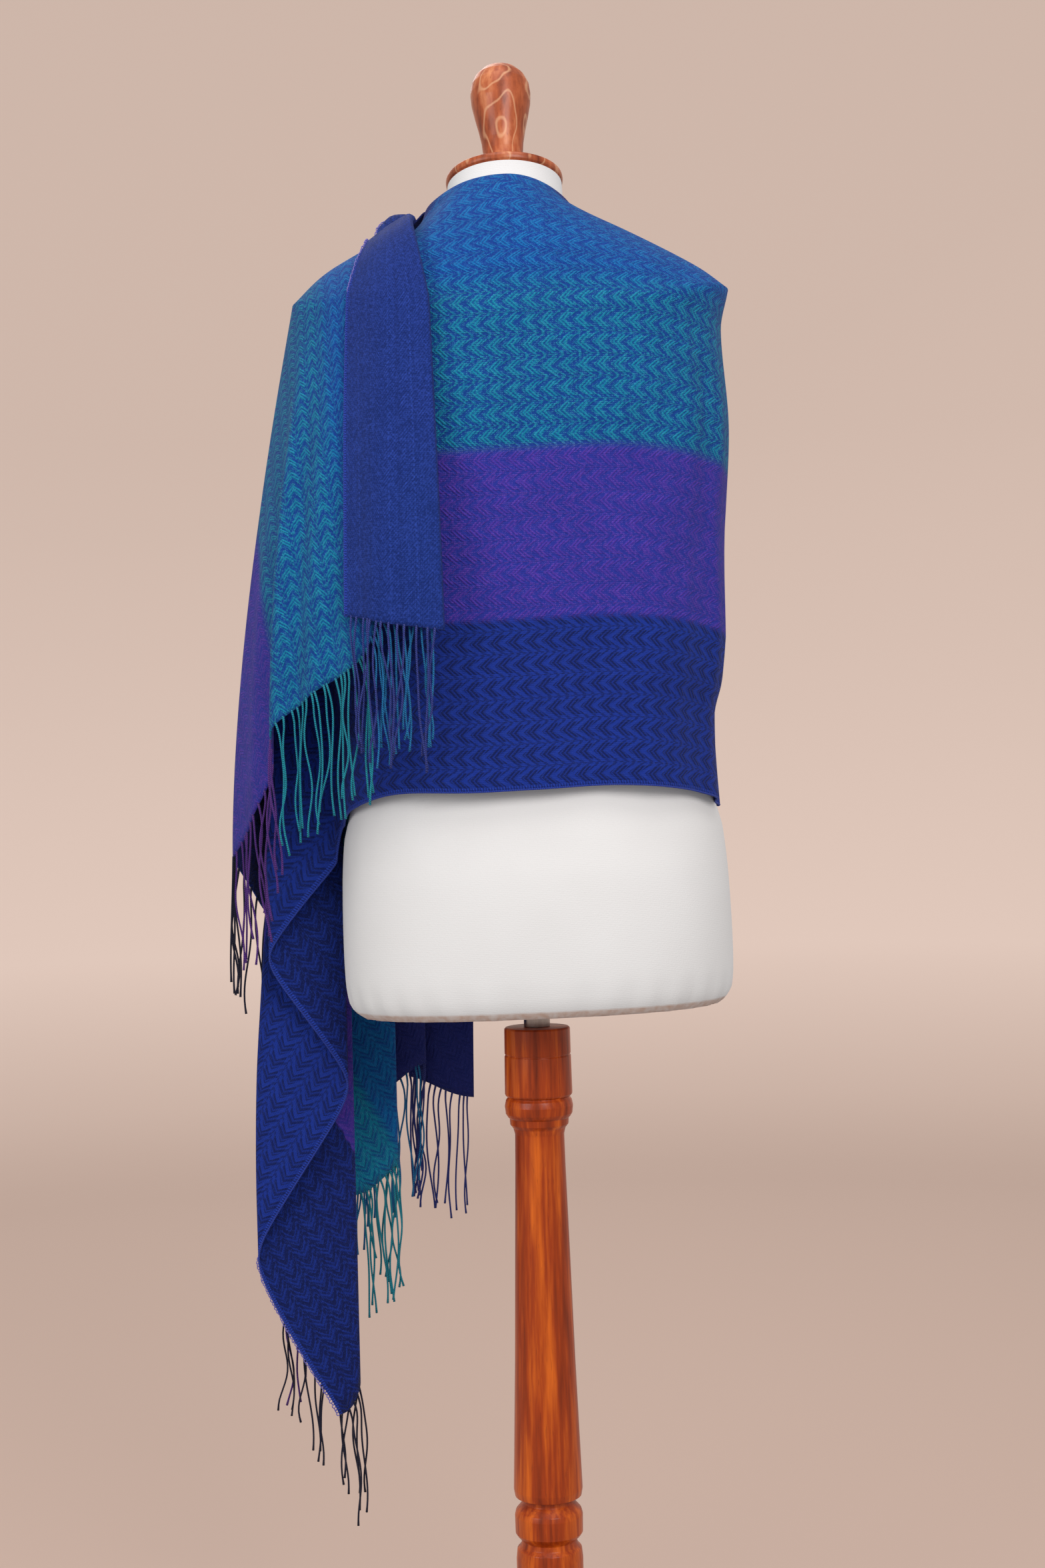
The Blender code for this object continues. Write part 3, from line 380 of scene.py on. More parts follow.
def evenly(points, count):
    """That many even steps along a path, measured on the path."""
    lengths = [0.0]
    for a, b in zip(points, points[1:]):
        lengths.append(lengths[-1] + (b - a).length)
    steps = []
    i = 0
    for k in range(count + 1):
        wanted = lengths[-1] * k / count
        while i < len(points) - 2 and lengths[i + 1] < wanted:
            i += 1
        span = max(lengths[i + 1] - lengths[i], 1e-9)
        steps.append(points[i].lerp(points[i + 1], min(1.0, (wanted - lengths[i]) / span)))
    return steps


def smooth_run(points, count):
    """A smooth curve through a few points, in that many even steps."""
    fine = [spline(points, (len(points) - 1) * k / (count * 2)) for k in range(count * 2 + 1)]
    return evenly(fine, count)


# The surfaces, from the same tables as the solids

def axis_x(z):
    return -LEAN * (z - LEAN_BASE_Z)


def leaned(x, y, z):
    return Vector((axis_x(z) + x, y, z + LEAN * x))


def oval(azimuth, width, depth, squareness):
    turn = math.radians(azimuth)
    sine, cosine = math.sin(turn), math.cos(turn)
    power = 2.0 / squareness
    return (
        math.copysign(abs(sine) ** power, sine) * width,
        -math.copysign(abs(cosine) ** power, cosine) * depth,
    )


def form_point(azimuth, z):
    at = place_in(FORM_SECTIONS, "z", z)
    width, back, front, squareness = (spline(column(FORM_SECTIONS, c), at) for c in Section._fields[1:])
    x, y = oval(azimuth, width, back if math.cos(math.radians(azimuth)) > 0 else front, squareness)
    neck = smoothstep(NECK_START_Z, NECK_TOP_Z, z)
    point = leaned(x, y, z)
    point.z -= neck * math.tan(NECK_TILT) * y
    point.y += neck * NECK_FORWARD
    return point


def flare(azimuth, z):
    height = min(1.0, max(0.0, (z - FLARE_LOW_Z) / (FLARE_TOP_Z - FLARE_LOW_Z)))
    turn = azimuth % 360.0
    opening = smoothstep(FLARE_FROM, FLARE_TO, turn) * smoothstep(FLARE_END_TO, FLARE_END_FROM, turn)
    return FLARE * opening * (1.0 - height**FLARE_CURVE)


def folded(azimuth, z):
    """How far the cloth stands out or in at a place: the main folds and the soft creases between them."""
    turn = (azimuth + 90.0) % 360.0 - 90.0
    total = 0.0
    for crease in CREASES:
        span = (turn - crease.azimuth - crease.slope * (z - crease.z)) / crease.width
        rise = (z - crease.z) / crease.reach
        if abs(span) < 3.0 and abs(rise) < 3.0:
            total += crease.depth * math.exp(-span * span - rise * rise)
    for fold in FOLDS:
        span = (turn - fold.azimuth) / fold.width
        if abs(span) < 3.0:
            fade = smoothstep(fold.top_z, mix(fold.top_z, fold.low_z, 0.45), z)
            total += fold.depth * math.exp(-span * span) * fade
    return total


def under(azimuth):
    return LAP * smoothstep(LAP_FROM, LAP_FULL, azimuth)


def ring_point(azimuth, ring, inset=0.0):
    turn = math.radians(azimuth)
    back = math.cos(turn) > 0
    right = math.sin(turn) > 0
    at = {c: spline(column(RINGS, c), ring) for c in Ring._fields[1:]}
    inset *= smoothstep(TUCKED_RING, HANG_RING, ring)
    width = at["right_width" if right else "left_width"] - inset
    depth = at["back_depth" if back else "front_depth"] - inset
    x, y = oval(azimuth, width, depth, at["squareness"])
    z = mix(at["z_right" if right else "z_left"], at["z_back" if back else "z_front"], math.cos(turn) ** 2)
    return leaned(x, y + smoothstep(COLLAR_RING, 0.0, ring) * WRAP_FORWARD, z - inset)


def girth_point(azimuth, z, inset=0.0):
    place = place_in(GIRTHS, "z", z)
    width, back, front = (spline(column(GIRTHS, c), place) for c in Girth._fields[1:])
    depth = back if math.cos(math.radians(azimuth)) > 0 else front
    x, y = oval(azimuth, width, depth, GIRTH_SQUARENESS)
    loose = -inset * smoothstep(INSET_LOW_Z, INSET_FULL_Z, z) if inset else flare(azimuth, z)
    out = Vector((x / width**2, y / depth**2, 0.0)).normalized() * (folded(azimuth, z) + loose)
    return Vector((axis_x(z) + x + out.x, y + out.y, z))


def side_path(edge):
    """The cloth's line at the left side, from the shoulder point (0) to the lower edge (1)."""
    fall = FALLS[-1]
    shoulder = ring_point(FRONT_END, SHOULDER_RING)
    out = 1.0 - (1.0 - edge) ** fall.drop
    x, y = mix(shoulder.x, fall.edge_x, out), mix(shoulder.y, fall.edge_y, out)
    return Vector((x, y, mix(shoulder.z, fall.edge_z, edge)))


def ring_at(row):
    i = min(int(row), SHOULDER_ROW - 1)
    return mix(RING_STOPS[i], RING_STOPS[i + 1], row - i)


def wrap_line(azimuth, inset, rows_above, rows_below):
    """The wrap's profile at an azimuth, from inside the neck to the lower edge."""
    line = [ring_point(azimuth, ring_at(SHOULDER_ROW * k / rows_above), inset) for k in range(rows_above + 1)]
    shoulder = line[-1]
    edge_z = looked_up(HEMS, "azimuth", azimuth, "z")
    first = girth_point(azimuth, shoulder.z, inset)
    side = smoothstep(SIDE_FROM, FRONT_END, azimuth)
    for k in range(1, rows_below + 1):
        share = k / rows_below
        point = girth_point(azimuth, mix(shoulder.z, edge_z, share), inset)
        point = point + (shoulder - first) * (1.0 - smoothstep(0.0, 0.5, share))
        line.append(point.lerp(side_path(share), side))
    return line


def fall_path(line):
    """A line of the thrown end, from the ridge to its fringed edge, as close points."""
    if line >= len(FALLS) - 1:
        return [side_path(k / 24) for k in range(25)]
    columns = {c: spline(column(FALLS, c), line) for c in Fall._fields[1:]}
    ring = mix(FOLD_RING, SHOULDER_RING, columns["ridge_share"])
    path = []
    steps = 24
    ridge_x = spline(column(RINGS, "left_width"), ring)
    for i in range(steps + 1):
        share = i / steps
        at = mix(ring, SHOULDER_RING, share)
        width, squareness = (spline(column(RINGS, c), at) for c in ("left_width", "squareness"))
        reach = min(1.0, mix(ridge_x, -columns["shoulder_x"], share) / width)
        azimuth = -math.degrees(math.asin(reach ** (squareness / 2)))
        path.append(ring_point(azimuth, at, under(azimuth) - LAP))
    top = path[-1]
    edge = Vector((columns["edge_x"], columns["edge_y"], columns["edge_z"]))
    for i in range(1, steps + 1):
        down = i / steps
        out = 1.0 - (1.0 - down) ** columns["drop"]
        point = Vector((mix(top.x, edge.x, out), mix(top.y, edge.y, out), mix(top.z, edge.z, down)))
        crest = math.exp(-(((line - CREST_LINE) / CREST_WIDTH) ** 2)) * CREST_DEPTH
        path.append(point + CREST_WAY * (crest * smoothstep(0.0, 0.5, down)))
    return path


def outward(grid, i, j):
    across = grid[min(i + 1, len(grid) - 1)][j] - grid[max(i - 1, 0)][j]
    down = grid[i][min(j + 1, len(grid[0]) - 1)] - grid[i][max(j - 1, 0)]
    return across.cross(down).normalized()


def strip_path(across):
    """A line of the folded edge: from the front over the ridge and down the fall, as close points."""
    line = STRIP_LINES * across
    ridge_line = line * STRIP_RIDGE_SHARE
    ring, ridge_ring = (
        mix(FOLD_RING, SHOULDER_RING, spline(column(FALLS, "ridge_share"), at)) for at in (line, ridge_line)
    )
    front_ring = mix(FOLD_RING + STRIP_FRONT_RINGS, ring, STRIP_FRONT_SHARE)
    steps = 16
    path = []
    for i in range(steps):
        share = 1.0 - i / steps
        own_ring = mix(ridge_ring, ring, smoothstep(0.0, STRIP_FRONT_FADE, share))
        point = ring_point(FRONT_END - STRIP_FRONT * share, mix(own_ring, front_ring, share))
        rise = math.sin(math.pi * min(1.0, share * LOOP_SPAN)) * LOOP_HEIGHT * across**0.7
        point.z += rise + STRIP_FRONT_LIFT * smoothstep(0.0, STRIP_LIFT_FADE, share)
        point.x += rise * LOOP_LEAN * across**2
        path.append(point)
    low = mix(*STRIP_EDGE_Z, across)
    pairs = zip(fall_path(ridge_line), fall_path(line))
    down = [a.lerp(b, smoothstep(*STRIP_RIDGE_BLEND, k)) for k, (a, b) in enumerate(pairs)]
    if down[-1].z > low:
        way = (down[-1] - down[-2]).normalized()
        down.append(down[-1] + way * (down[-1].z - low) / max(-way.z, 0.3))
    kept = [a for a in down if a.z > low or a.y > 0.0]
    last, after = down[len(kept) - 1], down[min(len(kept), len(down) - 1)]
    return path + kept + [last.lerp(after, (last.z - low) / max(last.z - after.z, 1e-6))]


def strip_grid(columns, rows):
    """The folded edge: it turns over at the fall's fold line and lies on the fall."""
    base = [evenly(strip_path(i / columns), rows) for i in range(columns + 1)]
    grid = []
    for angle in (math.radians(a) for a in STRIP_TURN):
        line = []
        for j in range(rows + 1):
            normal = outward(base, 0, j)
            side = (base[0][j] - base[1][j]).normalized()
            line.append(base[0][j] + (normal * (1.0 - math.cos(angle)) + side * math.sin(angle)) * LAYER / 2)
        grid.append(line)
    for i in range(columns + 1):
        swell = LAYER + STRIP_SWELL * math.sin(math.pi * i / columns)
        grid.append([base[i][j] + outward(base, i, j) * swell for j in range(rows + 1)])
    return grid


def plan_angle(point, centre_x):
    angle = math.degrees(math.atan2(point.x - centre_x, -point.y))
    return angle - 360.0 if angle > 90.0 else angle


def plan_radius(surface, angle, z):
    """How far from the axis a surface lies in a direction, at a height."""
    centre_x = axis_x(z)
    low, high = angle - 45.0, angle + 45.0
    for _ in range(14):
        middle = (low + high) / 2
        if plan_angle(surface(middle, z), centre_x) < angle:
            low = middle
        else:
            high = middle
    point = surface(low, z)
    return math.hypot(point.x - centre_x, point.y)


def covered_place(point):
    centre_x = axis_x(point.z)
    angle = plan_angle(point, centre_x)
    near = plan_radius(form_point, angle, point.z)
    far = plan_radius(girth_point, angle, point.z)
    share = (math.hypot(point.x - centre_x, point.y) - near) / (far - near)
    return angle, min(max(share, SHARE_LIMITS[0]), SHARE_LIMITS[1])


def covered_point(angle, share, z):
    radius = mix(plan_radius(form_point, angle, z), plan_radius(girth_point, angle, z), share)
    turn = math.radians(angle)
    return Vector((axis_x(z) + math.sin(turn) * radius, -math.cos(turn) * radius, z))


def hang_line(at, rows):
    """One line of the hanging end from its hidden top to its lower edge; at counts the rows of PLEATS."""
    last = len(PLEATS) - 1
    azimuth = mix(*HANG_TOP_AZIMUTHS, at / last)
    x, y = (spline(column(PLEATS, c), at) for c in ("x", "y"))
    pleat = min(int(at), last - 1)
    level = level_ended(at - pleat)
    flow = HEM_FLOW if at < TIP_PLEAT else END_FLOW
    edge_z = mix(PLEATS[pleat].edge_z, PLEATS[pleat + 1].edge_z, mix(level, at - pleat, flow))
    line = [ring_point(azimuth, ring, LAP) for ring in RING_STOPS[HANG_FIRST_ROW:]]
    top = line[-1]
    top_place = covered_place(top)
    low_place = covered_place(Vector((x, y, HANG_FREE_Z)))
    low = covered_point(*low_place, HANG_FREE_Z)
    for i in range(1, ROWS_BELOW + 1):
        z = mix(top.z, edge_z, i / ROWS_BELOW)
        if z > HANG_FREE_Z:
            share = smoothstep(top.z, HANG_FREE_Z, z)
            place = [mix(a, b, share) for a, b in zip(top_place, low_place)]
            line.append(covered_point(*place, z))
            continue
        share = smoothstep(HANG_FREE_Z, HANG_LOW_Z, z)
        line.append(Vector((mix(low.x, x, share), mix(low.y, y, share), z)))
    seam = wrap_line(azimuth, LAP, SHOULDER_ROW, ROWS_BELOW)[HANG_FIRST_ROW:]
    blend = smoothstep(0.0, 1.0, at)
    coarse = [a.lerp(b, blend) for a, b in zip(seam, line)]
    return [spline(coarse, (len(coarse) - 1) * k / rows) for k in range(rows + 1)]


# Where the weave lies on each stretch

def as_array(grid):
    return np.array([[tuple(point) for point in line] for line in grid])


def slant(points, warp, weft):
    """How fast the place along the warp changes straight across it, at each point of a grid."""
    di, dj = np.gradient(points, axis=0), np.gradient(points, axis=1)
    a, b, c = (di * di).sum(-1), (di * dj).sum(-1), (dj * dj).sum(-1)
    area = np.maximum(a * c - b * b, 1e-13)
    ui, uj = np.gradient(warp, axis=0), np.gradient(warp, axis=1)
    vi, vj = np.gradient(weft, axis=0), np.gradient(weft, axis=1)
    cross = (c * ui * vi - b * (ui * vj + uj * vi) + a * uj * vj) / area
    own = (c * vi * vi - 2.0 * b * vi * vj + a * vj * vj) / area
    return np.clip(cross / np.maximum(own, 0.02), -8.0, 8.0)


def lengths_down(points):
    """The distance of each grid point from the last one of its line."""
    steps = np.linalg.norm(np.diff(points, axis=1), axis=2)
    total = np.concatenate([np.zeros((len(points), 1)), np.cumsum(steps[:, ::-1], axis=1)], axis=1)
    return total[:, ::-1]


def warp_lengths(points, weft, first):
    """The distance along the warp from one line of the grid, where the place across it is known."""
    levels = np.linspace(0.0, SHAWL_WIDTH, 90)
    tracks = []
    for line, places in zip(points, weft):
        order = np.argsort(places, kind="stable")
        tracks.append(np.stack([np.interp(levels, places[order], line[order, k]) for k in range(3)], axis=1))
    steps = np.linalg.norm(np.diff(np.array(tracks), axis=0), axis=2)
    total = np.concatenate([np.zeros((1, len(levels))), np.cumsum(steps, axis=0)], axis=0)
    total = total - total[first]
    return np.array([np.interp(places, levels, total[i]) for i, places in enumerate(weft)])


def wrap_weft(azimuths, rows_above, points):
    """The place across the shawl of each point of the wrap: up from the hem, and over the left shoulder."""
    climb = lengths_down(points)
    rows = points.shape[1]
    weft = np.empty(climb.shape)
    for i, azimuth in enumerate(azimuths):
        turned = smoothstep(WARP_AZIMUTH, FRONT_END, azimuth)
        hem = BAND * smoothstep(FRINGED_FROM, FRONT_END, azimuth)
        for j in range(rows):
            plain = climb[i, j]
            if turned <= 0.0:
                weft[i, j] = plain
                continue
            ring = ring_at(min(SHOULDER_ROW * j / rows_above, SHOULDER_ROW))
            ridge = (ring - FOLD_RING) / (SHOULDER_RING - FOLD_RING)
            thrown = looked_up(FALLS, "ridge_share", ridge, "high") + max(0.0, -ridge) * NECK_RISE
            if j > rows_above:
                down = (j - rows_above) / (rows - 1 - rows_above)
                thrown = mix(FALLS[-1].high, FALLS[-1].low, down**FALL_TWIST)
            value = mix(plain, thrown, turned)
            excess = mix(0.0, BAND, turned) - hem
            weft[i, j] = max(0.0, value - excess * (1.0 - smoothstep(0.0, HEM_REACH, plain)))
    return weft


# Making meshes

def add_piece(name, mesh, looks):
    for look in looks:
        mesh.materials.append(look)
    piece = bpy.data.objects.new(name, mesh)
    bpy.context.scene.collection.objects.link(piece)
    return piece


def made_mesh(bm, name):
    mesh = bpy.data.meshes.new(name)
    bm.to_mesh(mesh)
    bm.free()
    mesh.shade_smooth()
    return mesh


def next_ring(bm, ring):
    """The vertices that a closed ring is extruded to, in the ring's order."""
    inside = set(ring)
    edges = list({e for v in ring for e in v.link_edges if e.other_vert(v) in inside})
    grown = bmesh.ops.extrude_edge_only(bm, edges=edges)["geom"]
    above = {}
    for vert in (g for g in grown if isinstance(g, bmesh.types.BMVert)):
        above[next(e.other_vert(vert) for e in vert.link_edges if e.other_vert(vert) in inside)] = vert
    return [above[v] for v in ring]


def cloth_sheet(name, points, warp, weft, band, looks, facing, thickness=CLOTH):
    """A thin woven shell through a grid of points. facing is a point and the way that the cloth's right side
    looks there."""
    columns, rows = points.shape[0] - 1, points.shape[1] - 1
    sheet = bmesh.new()
    bmesh.ops.create_grid(sheet, x_segments=columns, y_segments=rows, size=0.5)
    sheet.verts.ensure_lookup_table()
    at = sheet.loops.layers.uv.new("weave")
    slants = sheet.verts.layers.float.new("slant")
    bands = sheet.verts.layers.float.new("band")
    leaning = slant(points, warp, weft)
    places = {}
    for vert in sheet.verts:
        i, j = round((vert.co.x + 0.5) * columns), round((0.5 - vert.co.y) * rows)
        places[vert] = (i, j)
    for vert, (i, j) in places.items():
        vert.co = points[i, j]
        vert[slants] = leaning[i, j]
        vert[bands] = band[i, j]
    for face in sheet.faces:
        for loop in face.loops:
            i, j = places[loop.vert]
            loop[at].uv = (warp[i, j], weft[i, j])
    i, j, way = facing
    sheet.normal_update()
    own = next(v for v in sheet.verts if places[v] == (i, j)).normal
    if own.dot(Vector(way)) < 0.0:
        bmesh.ops.reverse_faces(sheet, faces=sheet.faces)
    piece = add_piece(name, made_mesh(sheet, name), looks)
    wall = piece.modifiers.new("wall", "SOLIDIFY")
    wall.thickness = thickness
    wall.offset = 0.0
    wall.material_offset = 1
    wall.material_offset_rim = 0
    return piece


def spun(name, profile, looks, steps=96, rounding=0.0006):
    """A turned piece from (radius, height) pairs, from top to bottom, with its edges a little eased."""
    turned = bmesh.new()
    corners = [turned.verts.new((radius, 0.0, height)) for radius, height in profile]
    for upper, lower in zip(corners, corners[1:]):
        turned.edges.new((upper, lower))
    bmesh.ops.bevel(
        turned, geom=corners[1:-1], offset=rounding, offset_type="OFFSET", affect="VERTICES",
        segments=3, profile=0.5, material=-1, clamp_overlap=True,
    )
    bmesh.ops.spin(
        turned, geom=turned.verts[:] + turned.edges[:], cent=(0, 0, 0), axis=(0, 0, 1),
        angle=math.tau, steps=steps, use_merge=True,
    )
    bmesh.ops.remove_doubles(turned, verts=turned.verts, dist=0.00002)
    bmesh.ops.recalc_face_normals(turned, faces=turned.faces)
    mesh = made_mesh(turned, name)
    mesh.set_sharp_from_angle(angle=math.radians(50))
    return add_piece(name, mesh, looks)


def grow_tube(bm, uv, path, radius_at, sides, turn=0.0):
    """A closed tube along a path, with its length and its way round in the UV map."""
    ring = bmesh.ops.create_circle(bm, segments=sides, radius=1.0, cap_ends=False)["verts"]
    normal = Vector((1.0, 0.0, 0.0))
    length = 0.0
    rings = []
    for k, point in enumerate(path):
        ahead = (path[min(k + 1, len(path) - 1)] - path[max(k - 1, 0)]).normalized()
        normal = (normal - ahead * normal.dot(ahead)).normalized()
        binormal = ahead.cross(normal)
        radius = radius_at(k / (len(path) - 1))
        if k:
            ring = next_ring(bm, ring)
            length += (point - path[k - 1]).length
        for s, vert in enumerate(ring):
            angle = math.tau * s / sides + turn
            vert.co = point + (normal * math.cos(angle) + binormal * math.sin(angle)) * radius
        rings.append((ring, length))
    spots = {}
    for row, (verts, far) in enumerate(rings):
        for s, vert in enumerate(verts):
            spots[vert] = (far, s / sides)
    for vert in spots:
        for loop in vert.link_loops:
            far, share = spots[vert]
            others = [spots[other][1] for other in loop.face.verts if other in spots]
            if max(others) - min(others) > 0.5 and share < 0.5:
                share += 1.0
            loop[uv].uv = (far, share)
    for verts in (rings[0][0], rings[-1][0]):
        bm.faces.new(verts)


def tube_piece(name, paths, radius_at, sides, looks):
    """Several tubes as one piece."""
    bm = bmesh.new()
    uv = bm.loops.layers.uv.new("weave")
    for number, path in enumerate(paths):
        grow_tube(bm, uv, path, radius_at, sides, turn=number)
    bmesh.ops.recalc_face_normals(bm, faces=bm.faces)
    return add_piece(name, made_mesh(bm, name), looks)


# Materials

def colour(red, green, blue):
    """A colour as a screen shows it, in 0 to 255, made linear."""
    shares = (c / 255.0 for c in (red, green, blue))
    return (*(s / 12.92 if s <= 0.04045 else ((s + 0.055) / 1.055) ** 2.4 for s in shares), 1.0)


class Value:
    """A number in a material, so that its nodes are written as sums."""

    def __init__(self, tree, socket):
        self.tree = tree
        self.socket = socket

    def math(self, operation, *others):
        node = self.tree.nodes.new("ShaderNodeMath")
        node.operation = operation
        for slot, given in zip(node.inputs, (self, *others)):
            if isinstance(given, Value):
                self.tree.links.new(given.socket, slot)
            else:
                slot.default_value = given
        return Value(self.tree, node.outputs[0])

    def __add__(self, other):
        return self.math("ADD", other)

    def __sub__(self, other):
        return self.math("SUBTRACT", other)

    def __mul__(self, other):
        return self.math("MULTIPLY", other)

    def __truediv__(self, other):
        return self.math("DIVIDE", other)

    def floor(self):
        return self.math("FLOOR")

    def fraction(self):
        return self.math("FRACT")

    def size(self):
        return self.math("ABSOLUTE")

    def wave(self, turns):
        """A wave from 0 to 1, with one crest at each whole number of turns."""
        return (self * (math.tau * turns)).math("COSINE") * 0.5 + 0.5

    def step(self, low, high):
        """0 below low and 1 above high, smooth between them."""
        node = self.tree.nodes.new("ShaderNodeMapRange")
        node.interpolation_type = "SMOOTHSTEP"
        self.tree.links.new(self.socket, node.inputs["Value"])
        node.inputs["From Min"].default_value = low
        node.inputs["From Max"].default_value = high
        if low > high:
            node.inputs["From Min"].default_value = high
            node.inputs["From Max"].default_value = low
            node.inputs["To Min"].default_value = 1.0
            node.inputs["To Max"].default_value = 0.0
        return Value(self.tree, node.outputs["Result"])

    def between(self, low, high, soft):
        return self.step(low - soft, low + soft) * self.step(high + soft, high - soft)


def new_look(name, roughness, **sockets):
    """A material with its Principled shader's plain sockets set."""
    look = bpy.data.materials.new(name)
    look.use_nodes = True
    shader = look.node_tree.nodes["Principled BSDF"]
    shader.inputs["Roughness"].default_value = roughness
    for socket, value in sockets.items():
        shader.inputs[socket.replace("_", " ")].default_value = value
    return look, look.node_tree, shader


def blended(tree, share, first, second):
    """A colour between two, each a colour or a socket, by a value's share."""
    node = tree.nodes.new("ShaderNodeMix")
    node.data_type = "RGBA"
    tree.links.new(share.socket, node.inputs[0])
    for slot, given in ((node.inputs[6], first), (node.inputs[7], second)):
        if isinstance(given, tuple):
            slot.default_value = given
        else:
            tree.links.new(given, slot)
    return node.outputs[2]


def ramp(tree, value, stops):
    """A colour from (place, colour) pairs."""
    node = tree.nodes.new("ShaderNodeValToRGB")
    tree.links.new(value.socket, node.inputs[0])
    elements = node.color_ramp.elements
    while len(elements) < len(stops):
        elements.new(0.5)
    for element, (place, shade) in zip(elements, stops):
        element.position = place
        element.color = shade
    return node.outputs[0]


def noise(tree, vector, scale, detail=2.0, stretch=None):
    """Soft noise from 0 to 1 at a place."""
    if stretch:
        mapping = tree.nodes.new("ShaderNodeMapping")
        mapping.inputs["Scale"].default_value = stretch
        tree.links.new(vector, mapping.inputs["Vector"])
        vector = mapping.outputs[0]
    node = tree.nodes.new("ShaderNodeTexNoise")
    node.inputs["Scale"].default_value = scale
    node.inputs["Detail"].default_value = detail
    tree.links.new(vector, node.inputs["Vector"])
    return Value(tree, node.outputs["Fac"])


def parts_of(tree, vector):
    split = tree.nodes.new("ShaderNodeSeparateXYZ")
    tree.links.new(vector, split.inputs[0])
    return [Value(tree, output) for output in split.outputs]


def weave_place(tree):
    """The place along the warp and the place across it, or along a yarn and round it."""
    uv = tree.nodes.new("ShaderNodeUVMap")
    uv.uv_map = "weave"
    return parts_of(tree, uv.outputs[0])[:2]


def finish_look(tree, shader, base, height, distance, strength=1.0):
    tree.links.new(base, shader.inputs["Base Color"])
    bump = tree.nodes.new("ShaderNodeBump")
    bump.inputs["Distance"].default_value = distance
    bump.inputs["Strength"].default_value = strength
    tree.links.new(height.socket, bump.inputs["Height"])
    tree.links.new(bump.outputs[0], shader.inputs["Normal"])


def object_place(tree):
    return tree.nodes.new("ShaderNodeTexCoord").outputs["Object"]


# speck is the colour of the painted highlights, where the raised stitches catch the light.
Band = namedtuple("Band", "name thread ground speck")
BANDS = [
    Band("navy", colour(11, 23, 74), colour(25, 53, 150), colour(52, 78, 168)),
    Band("purple", colour(78, 52, 162), colour(36, 50, 150), colour(146, 100, 206)),
    Band("teal", colour(14, 134, 164), colour(12, 54, 138), colour(84, 186, 210)),
    Band("azure", colour(10, 112, 178), colour(12, 54, 140), colour(70, 158, 220)),
    # The periwinkle band's three colours are darkened as painted shade: this band only shows where the
    # hanging end lies in the form's shade.
    Band("periwinkle", colour(36, 44, 114), colour(24, 36, 106), colour(64, 76, 160)),
]
FOLDED_GROUND, FOLDED_THREAD = colour(10, 34, 98), colour(44, 76, 174)
SELVEDGE_DARK, SELVEDGE_LIGHT = colour(26, 44, 128), colour(42, 74, 184)
WORN = colour(14, 24, 80)
MIDDLE_SHARE = 0.45
BAND_SOFT = (0.012, 0.03, 0.10, 0.05)


def band_stops(shades):
    stops = [(0.0, shades[0])]
    for k, soft in enumerate(BAND_SOFT):
        edge = (k + 1) / 5
        stops += [(edge - soft / 5, shades[k]), (edge + soft / 5, shades[k + 1])]
    return stops


